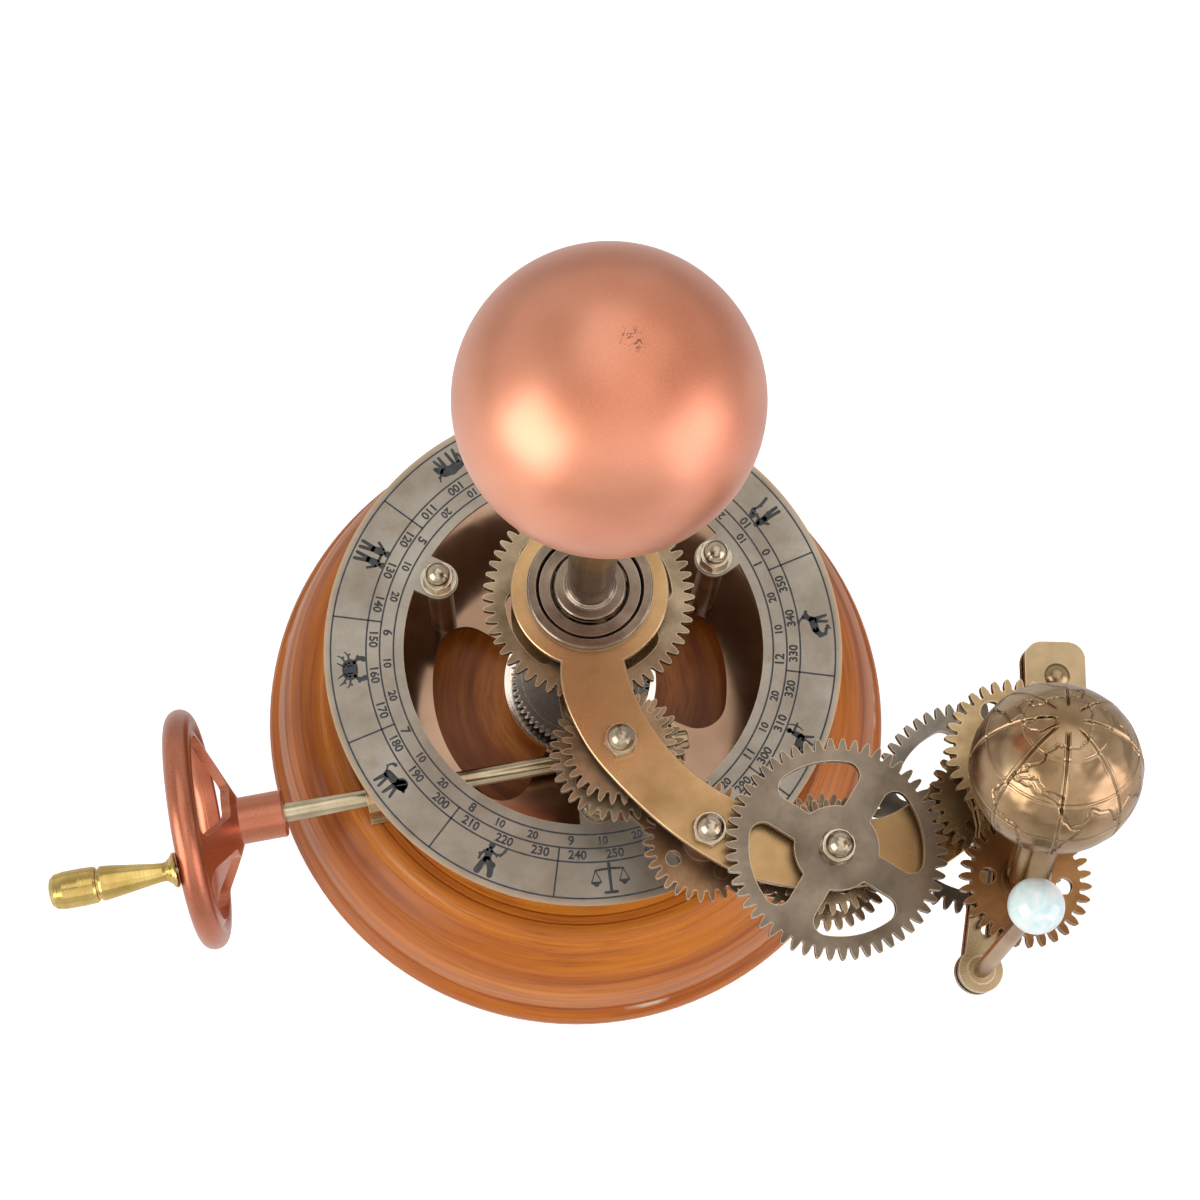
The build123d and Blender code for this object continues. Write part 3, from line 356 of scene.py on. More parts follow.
def embossed_bronze():
    """Bronze of the Earth: warm polish, with painted shade in the hollows and a painted highlight on the
    raised lines and land.
    """
    finish = Finish("earth_bronze", roughness=0.27)
    cloud = finish.noise(80.0, 4.0)
    colour = finish.blend(finish.span(cloud, 0.33, 0.66), (0.27, 0.165, 0.08), (0.42, 0.295, 0.175))
    painted_relief_shade = finish.add("ShaderNodeAttribute", attribute_name="relief").outputs["Fac"]
    # painted shade: the hollows of the relief are darkened in colour
    colour = finish.blend(finish.span(painted_relief_shade, 0.35, 0.0, 0.0, 0.85), colour, (0.09, 0.045, 0.018))
    # painted highlight: the raised lines and land are lightened in colour
    colour = finish.blend(finish.span(painted_relief_shade, 0.72, 1.0, 0.0, 0.7), colour, (0.78, 0.66, 0.47))
    finish.colour(colour)
    finish.roughness(finish.span(cloud, 0.3, 0.7, 0.32, 0.22))
    return finish.material


# meshes made here


def make_piece(name, body, material, hides=()):
    piece = bpy.context.view_layer.objects.active
    piece.name = name
    piece.data.name = name
    piece.data.materials.clear()
    piece.data.materials.append(material)
    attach(piece, body)
    if hides:
        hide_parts(*hides)
    return piece


def deselect():
    bpy.ops.object.select_all(action="DESELECT")


def select_only(piece):
    deselect()
    piece.select_set(True)
    bpy.context.view_layer.objects.active = piece


def apply_place(piece):
    select_only(piece)
    bpy.ops.object.transform_apply(location=True, rotation=True, scale=True)


def join(pieces):
    deselect()
    for piece in pieces:
        piece.select_set(True)
    bpy.context.view_layer.objects.active = pieces[0]
    if len(pieces) > 1:
        bpy.ops.object.join()
    return bpy.context.view_layer.objects.active


def smooth_ball(centre, radius, segments, rings):
    """A round ball whose poles lie along Z, smooth shaded."""
    deselect()
    bpy.ops.mesh.primitive_uv_sphere_add(segments=segments, ring_count=rings, radius=radius, location=centre)
    ball = bpy.context.view_layer.objects.active
    apply_place(ball)
    bpy.ops.object.shade_smooth()
    return ball


def sun(material):
    """The copper ball, with a small flat round its foot where the stem enters."""
    ball = smooth_ball(SUN_CENTRE, SUN_RADIUS, 128, 64)
    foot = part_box("sun_ball")[0].z
    select_only(ball)
    bpy.ops.object.mode_set(mode="EDIT")
    bpy.ops.mesh.select_all(action="SELECT")
    bpy.ops.mesh.bisect(plane_co=(0, 0, foot), plane_no=(0, 0, 1), clear_inner=True, use_fill=True)
    bpy.ops.object.mode_set(mode="OBJECT")
    bpy.ops.object.shade_smooth_by_angle(angle=math.radians(40))
    return make_piece("sun_copper_ball", "base", material, ["sun_ball"])


def moon(material):
    low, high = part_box("moon_ball")
    radius = (high.x - low.x) / 2
    smooth_ball(Vector(((low.x + high.x) / 2, (low.y + high.y) / 2, high.z - radius)), radius, 64, 32)
    return make_piece("moon_pearl_ball", "moon", material, ["moon_ball"])


# coasts as longitude and latitude, only as exact as a small cast globe shows them
COASTS = [
    [(-168, 66), (-140, 70), (-110, 69), (-90, 70), (-80, 63), (-93, 58), (-80, 52), (-65, 60),
     (-56, 52), (-70, 44), (-76, 36), (-81, 26), (-90, 30), (-97, 24), (-88, 16), (-80, 9), (-95, 16),
     (-106, 22), (-115, 30), (-124, 42), (-130, 54), (-150, 60), (-165, 55), (-168, 66)],
    [(-78, 8), (-62, 10), (-50, 0), (-35, -7), (-40, -20), (-48, -27), (-58, -38), (-66, -46),
     (-70, -54), (-74, -45), (-71, -20), (-80, -5), (-78, 8)],
    [(-10, 36), (10, 37), (32, 31), (43, 12), (51, 11), (40, -5), (36, -20), (27, -33), (18, -34),
     (12, -16), (9, 3), (-8, 5), (-17, 15), (-10, 30), (-10, 36)],
    [(-9, 38), (0, 45), (-4, 48), (8, 54), (10, 58), (5, 61), (22, 70), (42, 67), (68, 69), (100, 76),
     (140, 73), (178, 68), (160, 60), (141, 53), (130, 42), (122, 38), (121, 28), (108, 20), (105, 9),
     (100, 14), (90, 22), (80, 14), (77, 8), (72, 20), (57, 25), (52, 16), (43, 14), (35, 28), (36, 36),
     (27, 38), (22, 37), (15, 40), (8, 44), (-2, 37), (-9, 38)],
    [(114, -22), (122, -17), (131, -12), (137, -16), (142, -11), (146, -19), (153, -27), (150, -37),
     (140, -38), (130, -32), (116, -34), (114, -22)],
    [(-45, 60), (-22, 70), (-20, 80), (-50, 82), (-60, 76), (-52, 68), (-45, 60)],
]
MERIDIANS = 8
PARALLELS = (60, 30, 0, -30)

# the globe's relief: full height in metres, depths as shares of it, widths and turns in degrees
EMBOSS = 0.00040
GLOBE_START = 9.0
GLOBE_FACING = 40.0
POLE_CLEAR = 80
MERIDIAN_DEPTH = 1.3
MERIDIAN_WIDTH = 0.8
PARALLEL_DEPTH = 0.75
PARALLEL_WIDTH = 0.75
COAST_DEPTH = 1.1
COAST_WIDTH = 0.6
COAST_WOBBLE = 0.7
LAND_RISE = 0.38
LAND_ROUGHNESS = 0.10
SEA_ROUGHNESS = 0.04
SEA_LEVEL = 0.997
WAVE_COUNT = 26
WAVE_PITCH = (14, 46)


def distance_to_lines(points, lines):
    """Smallest distance, in degrees of arc, from points on the unit ball to chains of such points."""
    nearest = np.full(len(points), 1e9)
    for chain in lines:
        for a, b in zip(chain[:-1], chain[1:]):
            along = b - a
            t = np.clip(((points - a) @ along) / (along @ along), 0, 1)
            nearest = np.minimum(nearest, np.linalg.norm(points - a - t[:, None] * along, axis=1))
    return np.degrees(nearest)


def on_sphere(longitude, latitude):
    lon, lat = np.radians(longitude), np.radians(latitude)
    return np.stack([np.cos(lat) * np.cos(lon), np.cos(lat) * np.sin(lon), np.sin(lat)], -1)


def groove(distance, width):
    """Profile across a pressed line: sunk in the middle, with a raised lip on both sides."""
    s = distance / width
    return np.exp(-(s ** 2)) * -1.0 + 0.45 * np.exp(-((s - 1.7) ** 2) * 2.2)


def inside_coast(longitude, latitude, coast):
    """Whether points lie inside a coast, by counting the crossings of a ray to the east."""
    inside = np.zeros(len(longitude), bool)
    for (x1, y1), (x2, y2) in zip(coast[:-1], coast[1:]):
        crosses = (y1 > latitude) != (y2 > latitude)
        with np.errstate(divide="ignore", invalid="ignore"):
            edge = (x2 - x1) * (latitude - y1) / (y2 - y1 + 1e-12) + x1
        inside ^= crosses & (longitude < edge)
    return inside


def uneven_coast(coast):
    """A coast as a fine chain of points on the unit ball, a little rough, as a casting shows it."""
    lons = np.array([p[0] for p in coast], float)
    lats = np.array([p[1] for p in coast], float)
    t = np.linspace(0, len(coast) - 1, len(coast) * 4)
    steps = np.arange(len(coast))
    wobble = np.random.RandomState(len(coast))
    fine_lon = np.interp(t, steps, lons) + wobble.normal(0, COAST_WOBBLE, len(t))
    fine_lat = np.interp(t, steps, lats) + wobble.normal(0, COAST_WOBBLE, len(t))
    return on_sphere(fine_lon, fine_lat)


def cast_roughness(points):
    """Uneven ground as a sum of waves that run in many directions."""
    rough = np.zeros(len(points))
    waves = np.random.RandomState(7)
    for _ in range(WAVE_COUNT):
        direction = waves.normal(size=3)
        direction /= np.linalg.norm(direction)
        rough += np.sin(points @ direction * waves.uniform(*WAVE_PITCH) + waves.uniform(0, 6.28)) / 5
    return rough


def earth(material):
    """Cast globe: pressed meridians and parallels, raised land with rough relief."""
    joint = next(j for j in frame["joints"] if j["name"] == "earth_spin")
    axis = Vector(joint["axis"]).normalized()
    low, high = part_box("earth_globe")
    centre = (low + high) / 2
    radius = (high.x - low.x) / 2
    ball = smooth_ball((0, 0, 0), 1.0, 420, 210)
    count = len(ball.data.vertices)
    points = np.zeros(count * 3)
    ball.data.vertices.foreach_get("co", points)
    points = points.reshape(-1, 3)
    points /= np.linalg.norm(points, axis=1)[:, None]
    longitude = np.degrees(np.arctan2(points[:, 1], points[:, 0]))
    latitude = np.degrees(np.arcsin(np.clip(points[:, 2], -1, 1)))
    relief = np.zeros(count)
    step = 360 / MERIDIANS
    off = np.abs((longitude + GLOBE_START + step / 2) % step - step / 2) * np.cos(np.radians(latitude))
    keep = np.clip((POLE_CLEAR - np.abs(latitude)) / 3, 0, 1)
    relief += MERIDIAN_DEPTH * groove(off, MERIDIAN_WIDTH) * keep
    for parallel in PARALLELS:
        relief += PARALLEL_DEPTH * groove(np.abs(latitude - parallel), PARALLEL_WIDTH)
    land = np.zeros(count, bool)
    for coast in COASTS:
        land |= inside_coast(longitude, latitude, coast)
    shore = distance_to_lines(points, [uneven_coast(coast) for coast in COASTS])
    relief += COAST_DEPTH * groove(shore, COAST_WIDTH)
    rough = cast_roughness(points)
    ground = np.where(land, LAND_RISE + LAND_ROUGHNESS * rough, SEA_ROUGHNESS * rough)
    relief += ground * np.clip(shore / 2, 0, 1)
    height = relief * EMBOSS / radius
    spin = Matrix.Rotation(math.radians(GLOBE_FACING), 3, "Z")
    turn = np.array(axis.to_track_quat("Z", "Y").to_matrix() @ spin)
    placed = (points * (radius * (SEA_LEVEL + height))[:, None]) @ turn.T + np.array(centre)
    ball.data.vertices.foreach_set("co", placed.ravel())
    # the relief is also stored for the finish, which turns it into painted shade and painted highlight
    relief_shade_layer = ball.data.attributes.new("relief", "FLOAT", "POINT")
    relief_shade_layer.data.foreach_set("value", np.clip(0.5 + relief * 0.38, 0, 1).astype(np.float32))
    ball.data.update()
    bpy.context.view_layer.objects.active = ball
    return make_piece("earth_embossed_globe", "earth", material, ["earth_globe"])


# dial engraving: radii as shares of the ring's outer radius, sizes in metres, turns in degrees
CIRCLES = (0.974, 0.838, 0.786, 0.733)
SIGNS = 12
SIGN_SPAN = 30
DIVIDER_START = 12.5
LINE_WIDTH = 0.00062
ENGRAVING_LIFT = 0.00004
NUMERAL_WEIGHT = 0.00013
DEGREE_SIZE = 0.0043
MONTH_SIZE = 0.0046
DAY_SIZE = 0.0038
DEGREE_SHIFT = 5
MONTH_SHIFT = 3
DAY_SHIFTS = ((12, "10"), (22, "20"))


def flat_circle(radius, width):
    """A thin flat band round the dial."""
    deselect()
    inner = radius - width / 2
    bpy.ops.mesh.primitive_circle_add(vertices=240, radius=inner, fill_type="NOTHING",
                                      location=(0, 0, RING_FACE))
    band = bpy.context.view_layer.objects.active
    bpy.ops.object.mode_set(mode="EDIT")
    bpy.ops.mesh.select_all(action="SELECT")
    bpy.ops.mesh.extrude_edges_move()
    grow = (radius + width / 2) / inner
    bpy.ops.transform.resize(value=(grow, grow, 1.0))
    bpy.ops.object.mode_set(mode="OBJECT")
    apply_place(band)
    return band


def thicken(piece):
    """Gives a flat engraving its thin filling."""
    select_only(piece)
    solid = piece.modifiers.new("filling", "SOLIDIFY")
    solid.thickness = 2 * ENGRAVING_LIFT
    solid.offset = 0.0
    bpy.ops.object.modifier_apply(modifier="filling")
    return piece


def divider(degrees):
    """A line from the figures' outer circle to the inner edge of the sign band."""
    inner, outer = CIRCLES[2] * RING_OUTER, CIRCLES[0] * RING_OUTER
    deselect()
    bpy.ops.mesh.primitive_plane_add(size=1.0, location=(0, 0, 0))
    line = bpy.context.view_layer.objects.active
    line.scale = (outer - inner, LINE_WIDTH, 1.0)
    a = math.radians(degrees)
    line.rotation_euler = (0, 0, a)
    middle = (inner + outer) / 2
    line.location = (middle * math.cos(a), middle * math.sin(a), RING_FACE)
    apply_place(line)
    return line


def numeral(text, degrees, radius, height):
    """A plain number that stands on a circle of the dial and reads from outside."""
    deselect()
    bpy.ops.object.text_add(location=(0, 0, 0))
    label = bpy.context.view_layer.objects.active
    label.data.body = text
    label.data.size = height
    label.data.align_x = "CENTER"
    label.data.align_y = "CENTER"
    label.data.offset = NUMERAL_WEIGHT
    label.data.resolution_u = 3
    bpy.ops.object.convert(target="MESH")
    label = bpy.context.view_layer.objects.active
    a = math.radians(degrees)
    label.rotation_euler = (0, 0, a + math.pi / 2)
    label.location = (radius * math.cos(a), radius * math.sin(a), RING_FACE)
    apply_place(label)
    return label


# dial figures: tapering strokes as (across, along the radius, half width), in parts of the figure's height
FIGURES = [
    # water bearer: standing figure with a tilted jar
    [
        [(0.0, 0.75, 0.1), (0.02, 0.62, 0.06)],
        [(0.0, 0.55, 0.15), (-0.04, 0.3, 0.12), (-0.08, 0.05, 0.05), (-0.12, -0.45, 0.06)],
        [(0.0, 0.3, 0.1), (0.12, 0.0, 0.07), (0.1, -0.45, 0.06)],
        [(0.05, 0.52, 0.06), (0.35, 0.42, 0.05), (0.5, 0.55, 0.04)],
        [(0.45, 0.62, 0.12), (0.62, 0.42, 0.09)],
        [(0.62, 0.35, 0.04), (0.55, 0.05, 0.05), (0.7, -0.35, 0.06)],
        [(-0.05, 0.52, 0.05), (-0.3, 0.3, 0.05)],
    ],
    # fishes: two curved fish
    [
        [(-0.55, 0.45, 0.02), (-0.25, 0.62, 0.13), (0.15, 0.55, 0.14), (0.45, 0.38, 0.04),
         (0.62, 0.5, 0.08)],
        [(0.55, -0.3, 0.02), (0.25, -0.52, 0.13), (-0.15, -0.45, 0.14), (-0.45, -0.25, 0.04),
         (-0.62, -0.38, 0.08)],
        [(-0.52, 0.4, 0.03), (0.05, 0.05, 0.03), (0.5, -0.26, 0.03)],
    ],
    # ram: body, curled horn, legs
    [
        [(-0.45, 0.15, 0.16), (0.0, 0.18, 0.17), (0.32, 0.28, 0.15)],
        [(0.38, 0.42, 0.12), (0.6, 0.35, 0.07)],
        [(0.34, 0.62, 0.04), (0.16, 0.55, 0.06), (0.2, 0.36, 0.05), (0.34, 0.4, 0.03)],
        [(-0.45, 0.0, 0.08), (-0.52, -0.52, 0.05)],
        [(-0.25, 0.0, 0.07), (-0.22, -0.52, 0.05)],
        [(0.18, 0.05, 0.08), (0.15, -0.52, 0.05)],
        [(0.36, 0.1, 0.07), (0.46, -0.48, 0.05)],
    ],
    # bull: heavy body, lowered horned head
    [
        [(-0.5, 0.25, 0.15), (-0.05, 0.28, 0.2), (0.3, 0.2, 0.17)],
        [(0.45, 0.02, 0.13), (0.56, -0.16, 0.08)],
        [(0.4, 0.14, 0.04), (0.62, 0.26, 0.05), (0.7, 0.46, 0.02)],
        [(-0.5, 0.05, 0.08), (-0.58, -0.5, 0.05)],
        [(-0.28, 0.05, 0.07), (-0.24, -0.52, 0.05)],
        [(0.12, 0.05, 0.08), (0.14, -0.52, 0.05)],
        [(0.26, 0.02, 0.07), (0.4, -0.5, 0.05)],
        [(-0.62, 0.3, 0.03), (-0.74, 0.05, 0.03), (-0.66, -0.2, 0.05)],
    ],
    # twins: two figures arm in arm
    [
        [(-0.28, 0.68, 0.12), (-0.28, 0.56, 0.05)],
        [(0.28, 0.68, 0.12), (0.28, 0.56, 0.05)],
        [(-0.28, 0.4, 0.15), (-0.26, 0.0, 0.11)],
        [(0.28, 0.4, 0.15), (0.26, 0.0, 0.11)],
        [(-0.32, 0.0, 0.07), (-0.42, -0.58, 0.06)],
        [(-0.2, 0.0, 0.07), (-0.14, -0.58, 0.06)],
        [(0.2, 0.0, 0.07), (0.14, -0.58, 0.06)],
        [(0.32, 0.0, 0.07), (0.44, -0.58, 0.06)],
        [(-0.15, 0.45, 0.05), (0.15, 0.45, 0.05)],
        [(-0.42, 0.42, 0.05), (-0.62, 0.12, 0.05)],
        [(0.42, 0.42, 0.05), (0.62, 0.12, 0.05)],
    ],
    # crab: round shell, claws and legs
    [
        [(-0.14, 0.05, 0.27), (0.14, 0.05, 0.27)],
        [(-0.3, 0.25, 0.06), (-0.55, 0.42, 0.06), (-0.42, 0.66, 0.1)],
        [(0.3, 0.25, 0.06), (0.55, 0.42, 0.06), (0.42, 0.66, 0.1)],
        [(-0.3, 0.02, 0.04), (-0.68, 0.08, 0.04), (-0.8, -0.14, 0.02)],
        [(0.3, 0.02, 0.04), (0.68, 0.08, 0.04), (0.8, -0.14, 0.02)],
        [(-0.26, -0.12, 0.04), (-0.58, -0.2, 0.04), (-0.66, -0.44, 0.02)],
        [(0.26, -0.12, 0.04), (0.58, -0.2, 0.04), (0.66, -0.44, 0.02)],
        [(-0.16, -0.2, 0.04), (-0.34, -0.48, 0.02)],
        [(0.16, -0.2, 0.04), (0.34, -0.48, 0.02)],
    ],
    # lion: maned head, body and tufted tail
    [
        [(-0.4, 0.12, 0.14), (0.05, 0.18, 0.15)],
        [(0.34, 0.32, 0.23), (0.38, 0.3, 0.2)],
        [(0.55, 0.24, 0.09), (0.64, 0.2, 0.06)],
        [(-0.42, 0.0, 0.08), (-0.5, -0.5, 0.05)],
        [(-0.28, 0.0, 0.06), (-0.2, -0.5, 0.05)],
        [(0.16, 0.05, 0.08), (0.14, -0.5, 0.05)],
        [(0.3, 0.05, 0.07), (0.48, -0.4, 0.05)],
        [(-0.52, 0.15, 0.03), (-0.72, 0.3, 0.03), (-0.62, 0.56, 0.04), (-0.5, 0.6, 0.07)],
    ],
    # maiden: seated figure with an ear of corn
    [
        [(-0.05, 0.66, 0.12), (-0.05, 0.55, 0.05)],
        [(-0.06, 0.4, 0.13), (-0.02, 0.1, 0.12)],
        [(0.0, 0.0, 0.14), (0.3, -0.12, 0.12), (0.36, -0.55, 0.1)],
        [(-0.1, 0.0, 0.1), (-0.22, -0.55, 0.12)],
        [(0.05, 0.42, 0.05), (0.32, 0.3, 0.04), (0.48, 0.45, 0.04)],
        [(0.46, 0.36, 0.03), (0.56, 0.62, 0.06), (0.6, 0.78, 0.03)],
        [(-0.16, 0.42, 0.05), (-0.4, 0.16, 0.05), (-0.34, -0.05, 0.04)],
    ],
    # balance: beam, post and two pans
    [
        [(-0.6, 0.42, 0.035), (0.0, 0.5, 0.05), (0.6, 0.42, 0.035)],
        [(0.0, 0.7, 0.06), (0.0, -0.5, 0.05)],
        [(-0.25, -0.55, 0.05), (0.25, -0.55, 0.05)],
        [(-0.6, 0.42, 0.02), (-0.8, -0.05, 0.02)],
        [(-0.6, 0.42, 0.02), (-0.4, -0.05, 0.02)],
        [(0.6, 0.42, 0.02), (0.8, -0.05, 0.02)],
        [(0.6, 0.42, 0.02), (0.4, -0.05, 0.02)],
        [(-0.8, -0.08, 0.03), (-0.6, -0.16, 0.09), (-0.4, -0.08, 0.03)],
        [(0.8, -0.08, 0.03), (0.6, -0.16, 0.09), (0.4, -0.08, 0.03)],
    ],
    # scorpion: jointed body, claws and raised tail
    [
        [(-0.3, 0.02, 0.16), (0.05, 0.0, 0.15)],
        [(0.1, 0.0, 0.1), (0.35, -0.1, 0.08), (0.58, 0.02, 0.07), (0.62, 0.32, 0.06),
         (0.42, 0.52, 0.03)],
        [(-0.4, 0.1, 0.05), (-0.6, 0.3, 0.05), (-0.48, 0.52, 0.09)],
        [(-0.42, -0.05, 0.05), (-0.72, 0.02, 0.05), (-0.74, 0.26, 0.08)],
        [(-0.25, -0.08, 0.03), (-0.38, -0.42, 0.03)],
        [(-0.1, -0.08, 0.03), (-0.16, -0.46, 0.03)],
        [(0.05, -0.08, 0.03), (0.08, -0.44, 0.03)],
    ],
    # archer: horse body, upright figure and bow
    [
        [(-0.45, 0.0, 0.14), (0.1, 0.02, 0.14)],
        [(0.14, 0.1, 0.11), (0.16, 0.38, 0.1)],
        [(0.18, 0.62, 0.1), (0.18, 0.58, 0.08)],
        [(0.16, 0.42, 0.05), (0.52, 0.4, 0.04)],
        [(0.42, 0.72, 0.02), (0.6, 0.4, 0.04), (0.42, 0.08, 0.02)],
        [(-0.46, -0.05, 0.07), (-0.52, -0.55, 0.04)],
        [(-0.32, -0.05, 0.06), (-0.24, -0.55, 0.04)],
        [(0.06, -0.05, 0.07), (0.0, -0.55, 0.04)],
        [(0.16, -0.05, 0.06), (0.34, -0.46, 0.04)],
        [(-0.56, 0.02, 0.03), (-0.72, -0.14, 0.05), (-0.66, -0.38, 0.02)],
    ],
    # goat with a fish tail
    [
        [(-0.3, 0.05, 0.13), (0.12, 0.12, 0.15)],
        [(0.18, 0.2, 0.1), (0.32, 0.46, 0.1), (0.54, 0.38, 0.06)],
        [(0.3, 0.54, 0.04), (0.14, 0.78, 0.04), (-0.06, 0.74, 0.02)],
        [(0.18, 0.0, 0.07), (0.3, -0.48, 0.05)],
        [(0.06, 0.0, 0.06), (0.02, -0.5, 0.05)],
        [(-0.34, 0.04, 0.12), (-0.58, -0.12, 0.09), (-0.54, -0.38, 0.06), (-0.3, -0.46, 0.04)],
        [(-0.34, -0.34, 0.02), (-0.2, -0.5, 0.07), (-0.32, -0.62, 0.02)],
    ],
]
FIGURE_SIZE = 0.0082
FIGURE_WEIGHT = 1.25
FIGURE_SHIFT = 13.0


def figure(strokes, degrees):
    """One dial figure, drawn as flattened tapering strokes and set upright to the outer edge."""
    curve = bpy.data.curves.new("figure", "CURVE")
    curve.dimensions = "3D"
    curve.bevel_depth = 1.0
    curve.bevel_resolution = 2
    curve.use_fill_caps = True
    for stroke in strokes:
        line = curve.splines.new("NURBS")
        line.points.add(len(stroke) - 1)
        for point, (across, along, half) in zip(line.points, stroke):
            point.co = (across, along, 0.0, 1.0)
            point.radius = half * FIGURE_WEIGHT
        line.order_u = min(3, len(stroke))
        line.use_endpoint_u = True
        line.resolution_u = 4
    shape = bpy.data.objects.new("figure", curve)
    bpy.context.scene.collection.objects.link(shape)
    select_only(shape)
    bpy.ops.object.convert(target="MESH")
    parts = [bpy.context.view_layer.objects.active]
    for across, along, half in (point for stroke in strokes for point in stroke):
        bpy.ops.mesh.primitive_cylinder_add(
            vertices=14, radius=half * FIGURE_WEIGHT, depth=0.3, location=(across, along, 0))
        parts.append(bpy.context.view_layer.objects.active)
        apply_place(parts[-1])
    shape = join(parts)
    a = math.radians(degrees)
    radius = (CIRCLES[0] + CIRCLES[1]) / 2 * RING_OUTER
    shape.scale = (FIGURE_SIZE, FIGURE_SIZE, ENGRAVING_LIFT * 6)
    shape.rotation_euler = (0, 0, a + math.pi / 2)
    shape.location = (radius * math.cos(a), radius * math.sin(a), RING_FACE)
    apply_place(shape)
    return shape


def ring_engraving(material):
    """Circles, dividers, figures and plain numbers of the dial, filled in black."""
    lines = [flat_circle(share * RING_OUTER, LINE_WIDTH) for share in CIRCLES]
    starts = [DIVIDER_START + SIGN_SPAN * k for k in range(SIGNS)]
    lines += [divider(start) for start in starts]
    sign_radius = (CIRCLES[1] + CIRCLES[2]) / 2 * RING_OUTER
    month_radius = (CIRCLES[2] + CIRCLES[3]) / 2 * RING_OUTER
    for k, start in enumerate(starts):
        for tens in (0, 10, 20):
            degrees = (SIGN_SPAN * k + tens) % 360
            lines.append(numeral(str(degrees), start + DEGREE_SHIFT + tens, sign_radius, DEGREE_SIZE))
        lines.append(numeral(str(k + 1), start + MONTH_SHIFT, month_radius, MONTH_SIZE))
        for shift, day in DAY_SHIFTS:
            lines.append(numeral(day, start + shift, month_radius, DAY_SIZE))
    lines = [thicken(line) for line in lines]
    lines += [figure(strokes, start + FIGURE_SHIFT) for start, strokes in zip(starts, FIGURES)]
    join(lines)
    return make_piece("dial_engraving", "base", material)


# stage

FLOOR_SIZE = 60.0
FLOOR_DROP = 0.0003
FLOOR_GLOW = 0.54
FLOOR_SHINE = 0.08
ROOM_LIGHT = 0.45
LIGHT_TARGET = Vector((0.02, -0.02, 0.2))

# soft lights: name, direction, distance, sides, power and colour
SOFTBOXES = (
    ("window_left", (-0.86, -0.31, 0.41), 1.3, (1.0, 1.0), 11.0, (1.0, 0.97, 0.93)),
    ("window_right", (0.76, -0.56, 0.32), 1.4, (1.1, 1.1), 8.5, (1.0, 0.90, 0.94)),
    ("front_light", (0.0, -0.60, 0.80), 1.7, (1.6, 1.6), 6.5, (1.0, 0.96, 0.95)),
    ("top_light", (0.16, 0.24, 0.95), 1.7, (1.8, 1.8), 10.0, (1.0, 1.0, 1.0)),
)


def camera():
    heading = Vector((math.cos(CAMERA_HEADING), math.sin(CAMERA_HEADING), 0))
    forward = heading * math.cos(CAMERA_PITCH) - Vector((0, 0, math.sin(CAMERA_PITCH)))
    right = forward.cross(Vector((0, 0, 1))).normalized()
    up = right.cross(forward)
    rolled_right = math.cos(CAMERA_ROLL) * right + math.sin(CAMERA_ROLL) * up
    rolled_up = math.cos(CAMERA_ROLL) * up - math.sin(CAMERA_ROLL) * right
    turn = Matrix((rolled_right, rolled_up, -forward)).transposed()
    data = bpy.data.cameras.new("camera")
    data.lens = CAMERA_LENS
    data.sensor_width = 36.0
    data.clip_start = 0.01
    eye = bpy.data.objects.new("camera", data)
    bpy.context.scene.collection.objects.link(eye)
    eye.matrix_world = Matrix.Translation(CAMERA_PLACE) @ turn.to_4x4()
    bpy.context.scene.camera = eye


def softbox(name, direction, distance, size, power, colour):
    """A square soft light that looks at the middle of the orrery."""
    data = bpy.data.lights.new(name, "AREA")
    data.shape = "RECTANGLE"
    data.size, data.size_y = size
    data.energy = power
    data.color = colour
    lamp = bpy.data.objects.new(name, data)
    bpy.context.scene.collection.objects.link(lamp)
    away = Vector(direction).normalized()
    lamp.location = LIGHT_TARGET + away * distance
    lamp.rotation_euler = away.to_track_quat("Z", "Y").to_euler()


def floor():
    """Pale floor that keeps the shadow and looks white to the camera."""
    deselect()
    bpy.ops.mesh.primitive_plane_add(size=FLOOR_SIZE, location=(0, 0, -FLOOR_DROP))
    plane = bpy.context.view_layer.objects.active
    plane.name = "floor"
    finish = Finish("floor", metallic=0.0, roughness=0.9)
    finish.colour((0.80, 0.80, 0.80))
    finish.shader.inputs["Specular IOR Level"].default_value = 0.0
    tree = finish.tree
    path = finish.add("ShaderNodeLightPath").outputs
    seen = finish.math("MAXIMUM", finish.math("MAXIMUM", path["Is Camera Ray"], path["Is Glossy Ray"]),
                       path["Is Transmission Ray"])
    strength = finish.math("MULTIPLY_ADD", path["Is Camera Ray"], FLOOR_GLOW)
    tree.links.new(finish.math("MULTIPLY", seen, FLOOR_SHINE), strength.node.inputs[2])
    glow = finish.add("ShaderNodeEmission", {"Color": (1, 1, 1, 1), "Strength": strength})
    both = finish.add("ShaderNodeAddShader", {0: finish.shader.outputs[0], 1: glow.outputs[0]})
    tree.links.new(both.outputs[0], tree.nodes["Material Output"].inputs["Surface"])
    plane.data.materials.append(finish.material)


